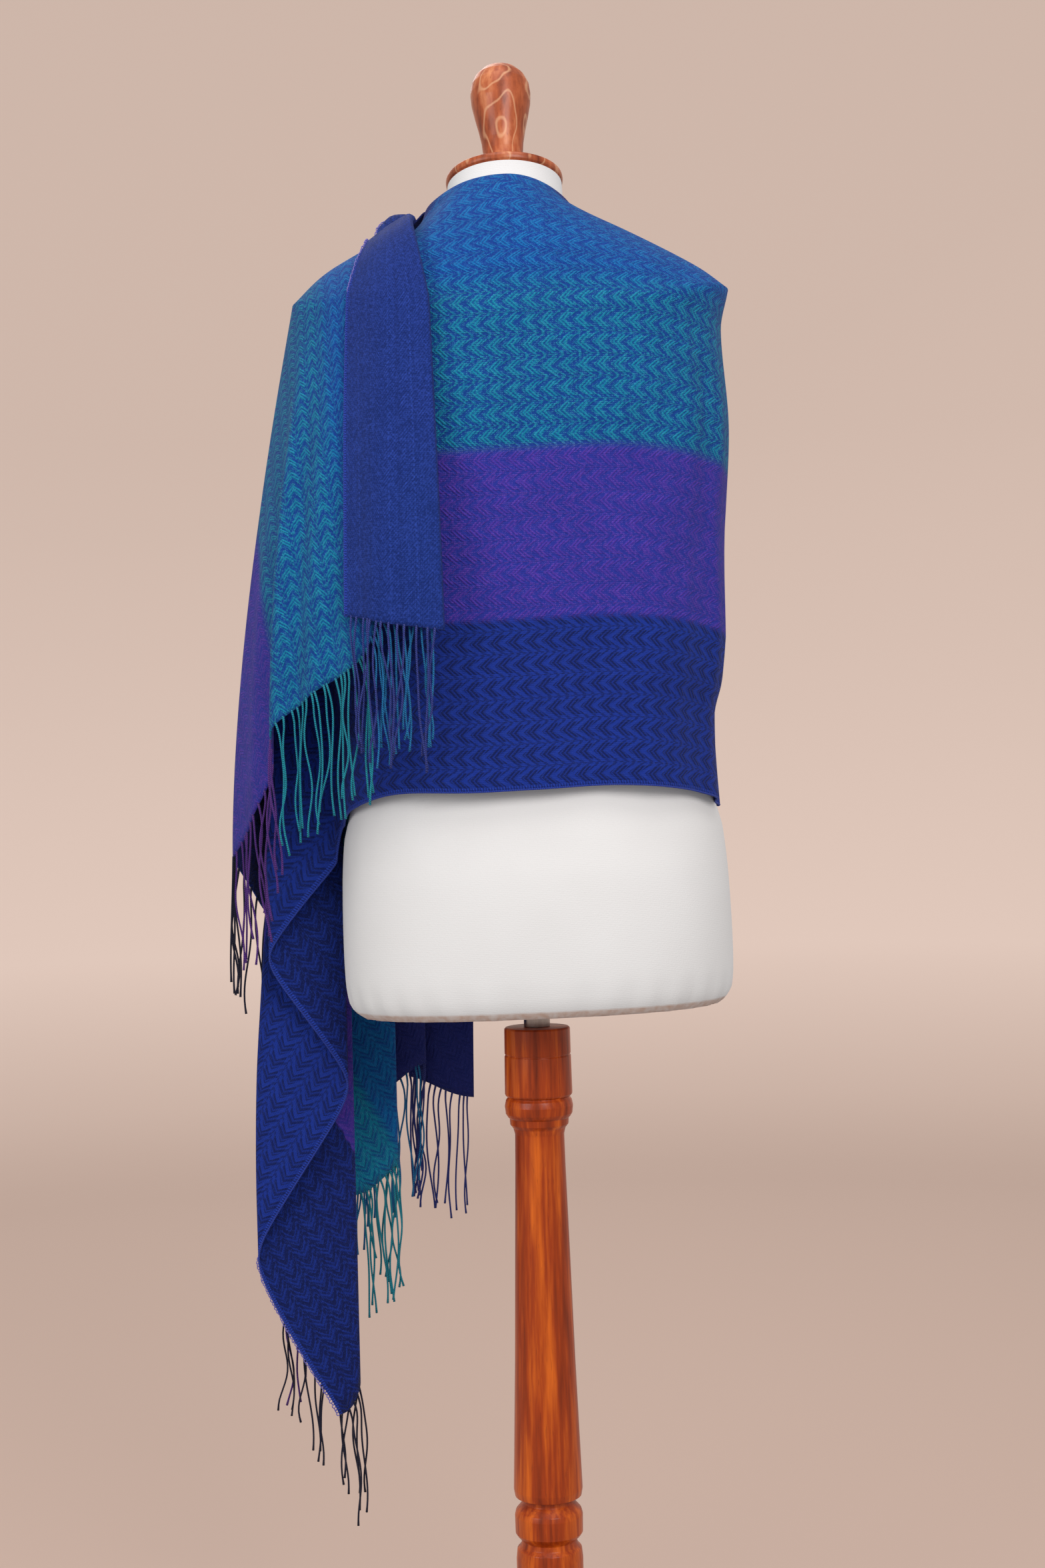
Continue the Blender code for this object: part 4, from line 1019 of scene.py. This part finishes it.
def woven_look(name, reverse=False, plain=False, nested=4.0, contrast=0.92):
    """The double-faced weave: arrows in the warp's bands of colour, outlined by the royal weft. nested is the
    number of threads in each arrow."""
    look, tree, shader = new_look(
        name, 0.82, Sheen_Weight=0.05, Sheen_Roughness=0.5, Specular_IOR_Level=0.15
    )
    far, across = weave_place(tree)
    reads = []
    for attribute in ("slant", "band"):
        node = tree.nodes.new("ShaderNodeAttribute")
        node.attribute_name = attribute
        reads.append(Value(tree, node.outputs["Fac"]))
    slanted, band = reads
    row = (across / ARROW_ROW).floor()
    off = across / ARROW_ROW - row - 0.5
    warp = far - off * ARROW_ROW * slanted
    half = off.size()
    wobble = noise(tree, object_place(tree), 55.0, 1.0) - 0.5
    phase = (warp + wobble * 0.0022) / ARROW_PITCH + row * ROW_SHIFT
    chevron = phase + half * ARROW_LEAN
    cell = chevron.fraction()
    fuzz = noise(tree, object_place(tree), 520.0, 1.5)
    blotch = noise(tree, object_place(tree), 34.0, 2.0)
    threads = (chevron * nested).wave(1.0)
    wale = (off * 13.0).wave(1.0)
    stitch = (warp / STITCH + off * ARROW_ROW / STITCH).wave(1.0) * (across / STITCH).wave(1.0)
    # Out from a row's middle: the leaf with its nested threads, the barbs beside it, and a dashed line.
    inside = half.step(0.38, 0.31)
    outline = half.step(0.05, 0.34) * 0.10
    leaf = (cell + outline).between(0.32, 0.985, 0.045) * inside
    beside = half.step(0.31, 0.36) * half.step(0.485, 0.455)
    barbs = (chevron * 2.0 + 0.2).fraction().between(0.42, 0.80, 0.10) * beside
    dash = half.step(0.466, 0.484) * (phase * 3.0).wave(1.0).step(0.15, 0.6)
    figure = (leaf * (threads * 0.75 + 0.30)).math("MAXIMUM", barbs * 0.62).math("MAXIMUM", dash * 0.75)
    if plain:
        twill = (warp * 300.0 + across * 300.0).wave(1.0)
        files = (across / 0.0270).fraction().between(0.47, 0.53, 0.02)
        files = files * (far / 0.0052).wave(1.0).step(0.3, 0.8)
        figure = twill * 0.22 + leaf * threads * 0.12 + files * 0.30 + blotch * 0.40
    thread, ground, pale = (ramp(tree, band / 5.0, band_stops(column(BANDS, c))) for c in Band._fields[1:])
    share = (figure + (fuzz - 0.5) * 1.1 + (stitch - 0.3) * 0.35).step(0.0, 0.90) * 0.88 + 0.04
    share = (share - MIDDLE_SHARE) * contrast + MIDDLE_SHARE
    if plain:
        cloth = blended(tree, share, FOLDED_GROUND, FOLDED_THREAD)
    elif reverse:
        cloth = blended(tree, share * 0.85, thread, ground)
    else:
        cloth = blended(tree, share, ground, thread)
    # Painted highlights: specks of each band's speck colour on the raised stitches, where they catch the
    # light.
    painted_glints = fuzz.step(0.47, 0.62) * stitch
    cloth = blended(tree, painted_glints * (0.25 if plain else 0.5), cloth, pale)
    worn = blended(tree, (blotch - 0.35) * 0.35 + 0.02, cloth, WORN)
    first_edge = across.step(SELVEDGE + SELVEDGE_SOFT, SELVEDGE)
    last_edge = across.step(SHAWL_WIDTH - SELVEDGE - SELVEDGE_SOFT, SHAWL_WIDTH - SELVEDGE)
    edge = first_edge.math("MAXIMUM", last_edge)
    ribs = (far / 0.0024).wave(1.0)
    base = blended(tree, edge, worn, blended(tree, ribs, SELVEDGE_DARK, SELVEDGE_LIGHT))
    relief = figure * 0.50 + threads * 0.16 + wale * 0.08 + fuzz * 0.45 + stitch * 0.30
    finish_look(tree, shader, base, relief + edge * (ribs * 0.6 + 0.4), 0.0011, 1.0)
    return look


def yarn_look(name, shade, bright):
    """A two-ply twisted yarn."""
    look, tree, shader = new_look(name, 0.75, Sheen_Weight=0.08, Sheen_Roughness=0.5, Specular_IOR_Level=0.25)
    far, turned = weave_place(tree)
    ply = (far / 0.0036 + turned).wave(2.0)
    fibre = noise(tree, object_place(tree), 900.0, 1.0)
    # The colour follows the twist from the shade colour to the bright one: painted shade in the grooves
    # between the plies and painted highlight on their crests, with random tone from the fibre noise.
    base = blended(tree, ply * 0.75 + (fibre - 0.5) * 0.6, shade, bright)
    finish_look(tree, shader, base, ply + fibre * 0.4, 0.0006, 0.9)
    return look


JERSEY_HEM_Z = (0.7525, 0.7495)


def jersey_look():
    """Fine white jersey, with a thin tan hem."""
    look, tree, shader = new_look(
        "cover_jersey", 0.9, Sheen_Weight=0.2, Sheen_Roughness=0.6, Specular_IOR_Level=0.2
    )
    place = object_place(tree)
    side, _, upward = parts_of(tree, place)
    height = upward - side * LEAN
    courses = (height / 0.0016).wave(1.0)
    grain = noise(tree, place, 700.0, 1.0)
    soft = noise(tree, place, 9.0, 2.0)
    base = blended(tree, soft, colour(228, 224, 220), colour(240, 237, 234))
    gathers = noise(tree, place, 170.0, 2.0, (1.0, 1.0, 0.15))
    hem = height.step(*JERSEY_HEM_Z) * (gathers * 0.9 + 0.2)
    base = blended(tree, hem, base, colour(190, 146, 118))
    finish_look(tree, shader, base, courses * 0.2 + grain * 0.9, 0.0003, 0.5)
    return look


def wood_look(name, shades, stretch, lines=False):
    """Varnished turned wood from three shades, dark first, with its grain along the piece."""
    look, tree, shader = new_look(name, 0.36, Coat_Weight=0.14, Coat_Roughness=0.18, Specular_IOR_Level=0.28)
    place = object_place(tree)
    broad = noise(tree, place, 60.0, 4.0, stretch)
    fine = noise(tree, place, 260.0, 3.0, stretch)
    pores = noise(tree, place, 900.0, 2.0, stretch)
    grain = broad * 0.65 + fine * 0.35
    base = ramp(tree, grain, list(zip((0.30, 0.50, 0.68), shades)))
    base = blended(tree, pores.step(0.62, 0.72) * 0.4, base, shades[0])
    if lines:
        rings = noise(tree, place, 26.0, 1.5, (1.0, 1.0, 0.45)) * 7.0
        base = blended(tree, rings.fraction().between(0.44, 0.56, 0.05) * 0.55, base, GRAIN_LINE)
    finish_look(tree, shader, base, grain + pores * 0.3, 0.0003, 0.35)
    return look


def steel_look():
    look, tree, shader = new_look("rod_steel", 0.35, Metallic=1.0)
    brushed = noise(tree, object_place(tree), 300.0, 2.0, (1.0, 1.0, 0.1))
    base = blended(tree, brushed, colour(150, 150, 150), colour(190, 190, 188))
    finish_look(tree, shader, base, brushed, 0.0002, 0.3)
    return look


OBVERSE = woven_look("shawl_right_side")
REVERSE = woven_look("shawl_wrong_side", reverse=True)
STRIP_REVERSE = woven_look("shawl_folded_side", reverse=True, plain=True)
HANGING = woven_look("shawl_hanging_right_side", nested=3.0, contrast=0.82)
HANGING_REVERSE = woven_look("shawl_hanging_wrong_side", reverse=True, nested=3.0, contrast=0.82)
YARNS = {
    "navy": yarn_look("yarn_navy", colour(10, 11, 26), colour(28, 30, 66)),
    "purple": yarn_look("yarn_purple", colour(60, 26, 98), colour(112, 58, 160)),
    "teal": yarn_look("yarn_teal", colour(4, 96, 112), colour(28, 176, 196)),
    "azure": yarn_look("yarn_azure", colour(12, 78, 140), colour(44, 158, 210)),
    "violet": yarn_look("yarn_violet", colour(26, 34, 96), colour(64, 78, 168)),
    "royal": yarn_look("yarn_royal", colour(26, 44, 132), colour(48, 78, 184)),
    "frayed": yarn_look("yarn_frayed", colour(92, 84, 178), colour(160, 152, 226)),
}
JERSEY = jersey_look()
POST_SHADES = (colour(98, 28, 4), colour(168, 60, 6), colour(232, 110, 22))
BASE_SHADES = (colour(98, 28, 4), colour(156, 56, 8), colour(214, 98, 22))
KNOB_SHADES = (colour(108, 40, 18), colour(176, 88, 50), colour(218, 140, 94))
GRAIN_LINE = colour(226, 170, 128)
POST_WOOD = wood_look("post_wood", POST_SHADES, (1.0, 1.0, 0.06))
BASE_WOOD = wood_look("base_wood", BASE_SHADES, (0.06, 1.0, 1.0))
KNOB_WOOD = wood_look("knob_wood", KNOB_SHADES, (0.9, 0.9, 0.25), lines=True)
STEEL = steel_look()


# The pieces

def placed(piece, slot, *nodes):
    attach(piece, "root")
    if nodes:
        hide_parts(*nodes)
    return piece


def build_wrap():
    """The cloth from the left side round the front, the right side and the back."""
    rows_above, rows_below = 34, 76
    azimuths = list(np.linspace(FRONT_END, BACK_START, WRAP_COLUMNS + 1))
    grid = [wrap_line(a, under(a), rows_above, rows_below) for a in azimuths]
    points = as_array(grid)
    weft = wrap_weft(azimuths, rows_above, points)
    first, back = (int(np.argmin(np.abs(np.array(azimuths) - a))) for a in (WARP_AZIMUTH, 0.0))
    warp = warp_lengths(points, weft, first) + WRAP_WARP_START
    facing = (back, rows_above + 30, (0, -1, 0))
    piece = cloth_sheet("shawl_wrap", points, warp, weft, weft / BAND, [OBVERSE, REVERSE], facing)
    return placed(piece, "shawl_cloth", "back_panel", "right_wrap", "front_panel"), grid


def build_fall():
    """The thrown end, from the ridge of the left shoulder to its fringed edge."""
    columns, rows = FALL_COLUMNS, 84
    last = len(FALLS) - 1
    lines = [last * i / columns for i in range(columns + 1)]
    flat = [evenly(fall_path(line), rows) for line in lines]
    grid = []
    for i, line in enumerate(lines):
        edge = smoothstep(0.0, 0.4, line) * smoothstep(last, last - 0.5, line)
        run = []
        for j, point in enumerate(flat[i]):
            down = j / rows
            out = 0.0
            for fold in FALL_FOLDS:
                span = (line - fold.line - fold.slope * (down - 0.5)) / fold.width
                out += fold.depth * math.exp(-span * span)
            out *= edge * smoothstep(FALL_FOLD_FROM, FALL_FOLD_FULL, down)
            run.append(point + outward(flat, i, j) * out)
        grid.append(run)
    points = as_array(grid)
    warp = lengths_down(points)
    weft = np.empty(warp.shape)
    for i, line in enumerate(lines):
        high, low = (spline(column(FALLS, c), line) for c in ("high", "low"))
        weft[i] = mix(high, low, (1.0 - warp[i] / warp[i, 0]) ** FALL_TWIST)
    facing = (20, rows - 10, (0, -1, 0))
    piece = cloth_sheet("thrown_end", points, warp, weft, weft / BAND, [OBVERSE, REVERSE], facing)
    return placed(piece, "shawl_cloth", "shoulder_fall"), grid


def build_strip():
    """The folded edge, which shows the reverse of the periwinkle band."""
    columns, rows = 40, 110
    grid = strip_grid(columns, rows)
    points = as_array(grid)
    count = len(grid)
    places = [STRIP_WEFT + (SHAWL_WIDTH - STRIP_WEFT) * i / (count - 1) for i in range(count)]
    weft = np.array([[place] * (rows + 1) for place in places])
    warp = lengths_down(points)
    band = np.full(weft.shape, STRIP_BAND)
    facing = (count - 8, rows - 10, (0, 1, 0))
    piece = cloth_sheet("folded_edge_cloth", points, warp, weft, band, [OBVERSE, STRIP_REVERSE], facing)
    return placed(piece, "shawl_cloth", "folded_edge"), grid


def build_hang():
    """The hanging end, where the warp runs aslant because the cloth hangs from its corner."""
    columns, rows = HANG_COLUMNS, 70
    last = len(PLEATS) - 1
    lines = [last * i / columns for i in range(columns + 1)]
    grid = [hang_line(at, rows) for at in lines]
    points = as_array(grid)
    low = points[:, -1, :2]
    spread = np.concatenate([[0.0], np.cumsum(np.linalg.norm(np.diff(low, axis=0), axis=1))])
    drop = PLEATS[0].edge_z - points[:, :, 2]
    sine, cosine = math.sin(HANG_WARP), math.cos(HANG_WARP)
    warp = spread[:, None] * sine + drop * cosine + HANG_WARP_START
    start = int(round(TIP_PLEAT / last * columns))
    own = spread * cosine - drop[:, -1] * sine
    own = np.where(np.arange(columns + 1) < start, 0.0, np.maximum(own - own[start], 0.0))
    weft = np.clip(own[:, None] + (drop[:, -1:] - drop) * sine, 0.0, SHAWL_WIDTH)
    ends = np.array([spline(column(PLEATS, "band"), at) for at in lines])
    end_weft = np.maximum.accumulate(weft[start:, -1])
    band = np.interp(weft, end_weft, np.maximum.accumulate(ends[start:]))
    facing = (2, rows // 2, (-1, -0.3, 0))
    piece = cloth_sheet("hanging_end_cloth", points, warp, weft, band, [HANGING, HANGING_REVERSE], facing)
    return placed(piece, "shawl_cloth", "hanging_end"), grid


def seeded(number):
    """A number from -1 to 1 that looks random and is the same each time."""
    return math.sin(number * 127.1 + 11.7) * 43758.5453 % 1.0 * 2.0 - 1.0


# The fringe. first and last are lines of the cloth's own table, degrees from the left side on the wrap, and
# columns on the folded edge. A row's name ends with its yarn.
Fringe = namedtuple("Fringe", "name cloth first last strands length sway gather")
FRINGES = [
    Fringe("front_navy", "wrap", 0.3, 20, 9, 0.118, 0.0, 0.75),
    Fringe("fall_purple", "fall", 4.08, 5.92, 12, 0.116, 0.004, 0.80),
    Fringe("fall_teal", "fall", 1.75, 3.97, 18, 0.118, 0.0, 0.75),
    Fringe("fall_azure", "fall", 0.08, 1.65, 14, 0.112, 0.0, 0.75),
    Fringe("fold_violet", "strip", 7, 46, 13, 0.118, 0.0, 0.75),
    Fringe("tip_navy", "hang", 5.10, 5.90, 5, 0.112, 0.0, 0.75),
    Fringe("side_navy", "hang", 6.05, 6.92, 11, 0.112, 0.0, 0.75),
    Fringe("side_purple", "hang", 7.10, 7.92, 9, 0.116, 0.0, 0.75),
    Fringe("outer_teal", "hang", 8.08, 8.92, 9, 0.118, 0.0, 0.75),
    Fringe("inner_teal", "hang", 9.06, 9.52, 5, 0.118, 0.0, 0.75),
    Fringe("inner_azure", "hang", 9.56, 9.94, 4, 0.116, 0.0, 0.75),
    Fringe("outer_azure", "hang", 10.06, 10.94, 10, 0.116, 0.0, 0.75),
    Fringe("inner_violet", "hang", 11.10, 11.90, 4, 0.116, 0.0, 0.75),
    Fringe("outer_violet", "hang", 12.06, 12.96, 12, 0.118, 0.0, 0.75),
]
COLUMNS_A_LINE = {
    "wrap": WRAP_COLUMNS / (FRONT_END - BACK_START),
    "fall": FALL_COLUMNS / (len(FALLS) - 1),
    "strip": 1,
    "hang": HANG_COLUMNS / (len(PLEATS) - 1),
}
BUNCH = 3.2
STRAND_STEPS = 12
STRAND_POINTS = 20


def strand_path(root, along_edge, out, number, fringe, draw):
    """A hanging strand: it leaves square to the edge, turns down, wanders and is drawn to its group."""
    length = fringe.length * (1.0 + 0.09 * seeded(number * 3 + 1))
    start = along_edge.cross(out).normalized()
    if start.z > 0.0:
        start.negate()
    start = start.lerp(Vector((0.0, 0.0, -1.0)), 0.25 + 0.6 * (1.0 + start.z)).normalized()
    reach = 0.10 + 0.05 * seeded(number * 23)
    phase, turns = seeded(number * 17) * math.pi, 1.1 + 0.5 * seeded(number * 19)
    sway = Vector((1.0, 0.35 * seeded(number * 29), 0.0)) * (0.0014 + 0.0034 * abs(seeded(number * 7)))
    path = [root - start * 0.0012]
    for k in range(1, STRAND_STEPS + 1):
        share = k / STRAND_STEPS
        way = start.lerp(Vector((0.0, 0.0, -1.0)), smoothstep(0.0, reach * 2.6, share)).normalized()
        path.append(path[-1] + way * (length / STRAND_STEPS))
    wandered = []
    for k, point in enumerate(path):
        share = k / STRAND_STEPS
        wave = math.sin(phase + share * math.tau * turns) - math.sin(phase)
        side = draw * fringe.gather * smoothstep(0.15, 1.0, share) + sway * wave * share**0.6
        side += out * 0.0022 * math.sin(min(1.0, share * 2.0) * math.pi / 2)
        side.x += fringe.sway * share**2
        side.z = 0.0
        wandered.append(point + side)
    return smooth_run(wandered, STRAND_POINTS)


def build_fringe(fringe, grid):
    """The strands of one row, drawn together in bunches of about three."""
    edge = [line[-1] for line in grid]
    first, last = (place * COLUMNS_A_LINE[fringe.cloth] for place in (fringe.first, fringe.last))
    spots = []
    bunches = []
    for k in range(fringe.strands):
        share = (k + 0.5 + 0.34 * seeded(k * 5 + len(fringe.name))) / fringe.strands
        spots.append(mix(first, last, share))
        bunches.append(int((k + 0.8 * seeded(k * 3 + 2)) / BUNCH))
    paths = []
    for k, at in enumerate(spots):
        number = k + len(fringe.name) * 13 + int(first)
        out = outward(grid, min(int(at), len(grid) - 1), len(grid[0]) - 1)
        mates = [spot for spot, bunch in zip(spots, bunches) if bunch == bunches[k]]
        root = along(edge, at)
        beside = along(edge, min(at + 1.0, len(edge) - 1)) - along(edge, max(at - 1.0, 0.0))
        draw = along(edge, sum(mates) / len(mates)) - root
        paths.append(strand_path(root, beside, out, number, fringe, draw))

    def radius_at(share):
        return YARN * (1.0 + 0.25 * smoothstep(0.12, 0.0, share) + 0.30 * smoothstep(0.94, 0.98, share))

    yarn = fringe.name.split("_")[1]
    piece = tube_piece("fringe_" + fringe.name + "_yarn", paths, radius_at, 6, [YARNS[yarn]])
    return placed(piece, "yarn_" + yarn, "fringe_" + fringe.name)


def build_selvedge(name, path, steps):
    """The firm rolled edge of the cloth."""
    piece = tube_piece(name, [evenly(path, steps)], lambda share: SELVEDGE_RADIUS, 6, [YARNS["royal"]])
    return placed(piece, "shawl_cloth")


def build_loops(name, path, out, count):
    """Loose loops of weft that stand out of a worn edge."""
    spots = evenly(path, count)
    paths = []
    for k in range(count):
        here, there = spots[k], spots[k + 1]
        rise = out * (0.0022 + 0.0007 * seeded(k * 3 + 5)) + (there - here) * 0.3 * seeded(k * 7)
        bends = [here, here + rise * 0.8, (here + there) / 2 + rise, there + rise * 0.7, there]
        paths.append(smooth_run(bends, 8))
    piece = tube_piece(name, paths, lambda share: LOOSE_YARN, 5, [YARNS["frayed"]])
    return placed(piece, "yarn_violet")


COVER_HEM = [0.7435, 0.7442, 0.745, 0.7465, 0.749, 0.753, 0.758, 0.764]
COVER_RUNS = [(0.772, 1.44, 90), (1.444, NECK_TOP_Z, 22)]
HEM_SEAM_Z, HEM_SEAM_DEPTH, HEM_SEAM_WIDTH = 0.7525, 0.0012, 0.0022
GATHER_TOP_Z, GATHER_LOW_Z = 0.785, 0.750


def build_cover():
    """The form's jersey cover, gathered a little at its hem."""
    sides = 168
    heights = COVER_HEM + [z for run in COVER_RUNS for z in np.linspace(*run)]
    body = bmesh.new()
    ring = bmesh.ops.create_circle(body, segments=sides, radius=1.0, cap_ends=True)["verts"]
    ring = sorted(ring, key=lambda v: math.atan2(v.co.y, v.co.x))
    for level, z in enumerate(heights):
        if level:
            ring = next_ring(body, ring)
        for s, vert in enumerate(ring):
            azimuth = 360.0 * s / sides
            point = form_point(azimuth, z)
            ripple = math.sin(s * 2.9) * 0.0008 + math.sin(s * 1.13) * 0.0009
            gather = smoothstep(GATHER_TOP_Z, GATHER_LOW_Z, z) * ripple
            seam = -HEM_SEAM_DEPTH * math.exp(-(((z - HEM_SEAM_Z) / HEM_SEAM_WIDTH) ** 2))
            vert.co = point + Vector((point.x, point.y, 0.0)).normalized() * (gather + seam)
    bmesh.ops.contextual_create(body, geom=ring)
    bmesh.ops.recalc_face_normals(body, faces=body.faces)
    mesh = made_mesh(body, "form_cover")
    mesh.set_sharp_from_angle(angle=math.radians(40))
    return placed(add_piece("form_cover", mesh, [JERSEY]), "form_cover", "form_body")


def build_stand():
    """The turned post and base, the short rod between post and form, and the knob on the neck."""
    placed(spun("turned_post", POST_PROFILE, [POST_WOOD]), "turned_wood", "stand_post")
    placed(spun("turned_base", BASE_PROFILE, [BASE_WOOD], rounding=0.0015), "turned_wood", "stand_base")
    rod_top, rod_low = FORM_SECTIONS[0].z - 0.0003, POST_PROFILE[0][1] + 0.0002
    rod = [(0.0, rod_top), (ROD_RADIUS, rod_top), (ROD_RADIUS, rod_low), (0.0, rod_low)]
    placed(spun("form_rod", rod, [STEEL], steps=48, rounding=0.0003), "steel_rod", "stand_rod")
    knob = spun("neck_knob", CAP_PROFILE, [KNOB_WOOD])
    top = (form_point(0.0, NECK_TOP_Z) + form_point(180.0, NECK_TOP_Z)) / 2
    lean = Matrix.Rotation(-LEAN, 4, "Y") @ Matrix.Rotation(-NECK_TILT, 4, "X")
    knob.data.transform(Matrix.Translation(top + Vector((0.0, 0.0, 0.0003))) @ lean)
    placed(knob, "turned_wood", "neck_cap")


PAPER = colour(212, 188, 174)
# The paper's colour by height is painted light: darker on the floor and just above it, brightest low on the
# wall where the lamps light it least, and the plain paper colour higher up.
PAINTED_LIGHT_STOPS = [
    (0.0, colour(176, 150, 136)), (0.03, colour(196, 171, 157)), (0.12, colour(230, 206, 192)), (0.5, PAPER)
]
PAPER_RAMP_HEIGHT = 4.0
PAPER_GLOW = 0.33


def build_stage():
    """A pale floor that sweeps up into a plain backdrop all round, so that no view is without it."""
    bowl = bmesh.new()
    line = [bowl.verts.new((radius, 0.0, 0.0)) for radius in (0.0, FLOOR_MIDDLE, FLOOR_RADIUS)]
    sweep_steps = 12
    for k in range(1, sweep_steps + 1):
        angle = math.radians(90 * k / sweep_steps)
        out, up = math.sin(angle) * SWEEP, (1.0 - math.cos(angle)) * SWEEP
        line.append(bowl.verts.new((FLOOR_RADIUS + out, 0.0, up)))
    line.append(bowl.verts.new((FLOOR_RADIUS + SWEEP, 0.0, WALL_HEIGHT)))
    edges = [bowl.edges.new(pair) for pair in zip(line, line[1:])]
    bmesh.ops.spin(
        bowl, geom=line + edges, cent=(0, 0, 0), axis=(0, 0, 1), angle=math.tau, steps=96, use_merge=True
    )
    bmesh.ops.remove_doubles(bowl, verts=bowl.verts, dist=0.0001)
    bmesh.ops.recalc_face_normals(bowl, faces=bowl.faces)
    floor = min(bowl.faces, key=lambda f: f.calc_center_median().length)
    if floor.normal.z < 0.0:
        bmesh.ops.reverse_faces(bowl, faces=bowl.faces)
    look, tree, shader = new_look("backdrop_paper", 0.95)
    height = parts_of(tree, object_place(tree))[2]
    # Painted light: the paper's colour changes with height.
    tree.links.new(ramp(tree, height / PAPER_RAMP_HEIGHT, PAINTED_LIGHT_STOPS), shader.inputs["Base Color"])
    shader.inputs["Emission Color"].default_value = PAPER
    shader.inputs["Emission Strength"].default_value = PAPER_GLOW
    backdrop = add_piece("backdrop", made_mesh(bowl, "backdrop"), [look])
    backdrop.visible_diffuse = False
    backdrop.visible_shadow = False


WORLD_COLOUR, WORLD_STRENGTH = (0.98, 0.97, 0.98, 1.0), 0.44
Light = namedtuple("Light", "name place target size power tint")
LIGHTS = [
    Light("key", (1.1, -2.8, 2.5), (0, 0, 1.15), 1.6, 46.0, (0.99, 0.98, 1.0)),
    Light("fill", (-2.2, -2.2, 1.9), (0, 0, 1.1), 1.8, 30.0, (0.96, 0.98, 1.0)),
    Light("wash", (0.0, -0.6, 3.4), (0, 1.6, 1.6), 2.0, 22.0, (1.0, 1.0, 1.0)),
    Light("rear", (-0.8, 2.8, 3.6), (0, 0, 1.0), 2.2, 24.0, (0.97, 0.98, 1.0)),
]


def build_lights():
    """A soft studio: an even world and four large round lights."""
    world = bpy.data.worlds.new("studio")
    bpy.context.scene.world = world
    world.use_nodes = True
    world.node_tree.nodes["Background"].inputs["Color"].default_value = WORLD_COLOUR
    world.node_tree.nodes["Background"].inputs["Strength"].default_value = WORLD_STRENGTH
    for row in LIGHTS:
        light = bpy.data.lights.new(row.name, "AREA")
        light.shape = "DISK"
        light.size = row.size
        light.energy = row.power
        light.color = row.tint
        lamp = bpy.data.objects.new(row.name, light)
        bpy.context.scene.collection.objects.link(lamp)
        lamp.location = row.place
        lamp.rotation_euler = (Vector(row.target) - Vector(row.place)).to_track_quat("-Z", "Y").to_euler()


def build_camera():
    """The photo's viewpoint, level and a little rolled."""
    data = bpy.data.cameras.new("photo_camera")
    data.sensor_fit = "VERTICAL"
    data.sensor_height = 36.0
    data.lens = 50.0
    camera = bpy.data.objects.new("photo_camera", data)
    bpy.context.scene.collection.objects.link(camera)
    level = Matrix.Rotation(math.radians(90), 4, "X") @ Matrix.Rotation(CAMERA_ROLL, 4, "Z")
    camera.matrix_world = Matrix.Translation(CAMERA_PLACE) @ level
    bpy.context.scene.camera = camera


# Colours come out as the materials state them.
bpy.context.scene.view_settings.view_transform = "Standard"
build_camera()
build_lights()
build_stage()
build_cover()
build_stand()
wrap, wrap_grid = build_wrap()
fall, fall_grid = build_fall()
strip, strip_lines = build_strip()
hang, hang_grid = build_hang()
GRIDS = {"wrap": wrap_grid, "fall": fall_grid, "strip": strip_lines, "hang": hang_grid}
yarns = {key: [] for key in GRIDS}

# The rolled edges, and the loose loops along the worn ones. The hanging end covers the rest of the hem.
hem_line = [line[-1] for line in wrap_grid]
hang_edge = [line[-1] for line in hang_grid]
HEM_COVERED_X = -0.16
LOOPS_FROM_Z = 1.38
CASCADE_COLUMNS, TIP_COLUMNS = slice(96), slice(80, 101)
shown_hem = [p for p in hem_line if p.x > HEM_COVERED_X or p.y < 0.0]
loop_run = [p for p in strip_lines[-1] if p.z > LOOPS_FROM_Z]
yarns["wrap"].append(build_selvedge("hem_selvedge", shown_hem, 420))
yarns["hang"].append(build_selvedge("cascade_selvedge", hang_edge[CASCADE_COLUMNS], 200))
yarns["strip"].append(build_selvedge("strip_selvedge", strip_lines[-1], 150))
yarns["strip"].append(build_loops("strip_loops", loop_run, Vector((-0.55, -0.1, 0.83)), 46))
yarns["hang"].append(build_loops("tip_loops", hang_edge[TIP_COLUMNS], Vector((-0.8, -0.2, -0.55)), 60))
for row in FRINGES:
    yarns[row.cloth].append(build_fringe(row, GRIDS[row.cloth]))
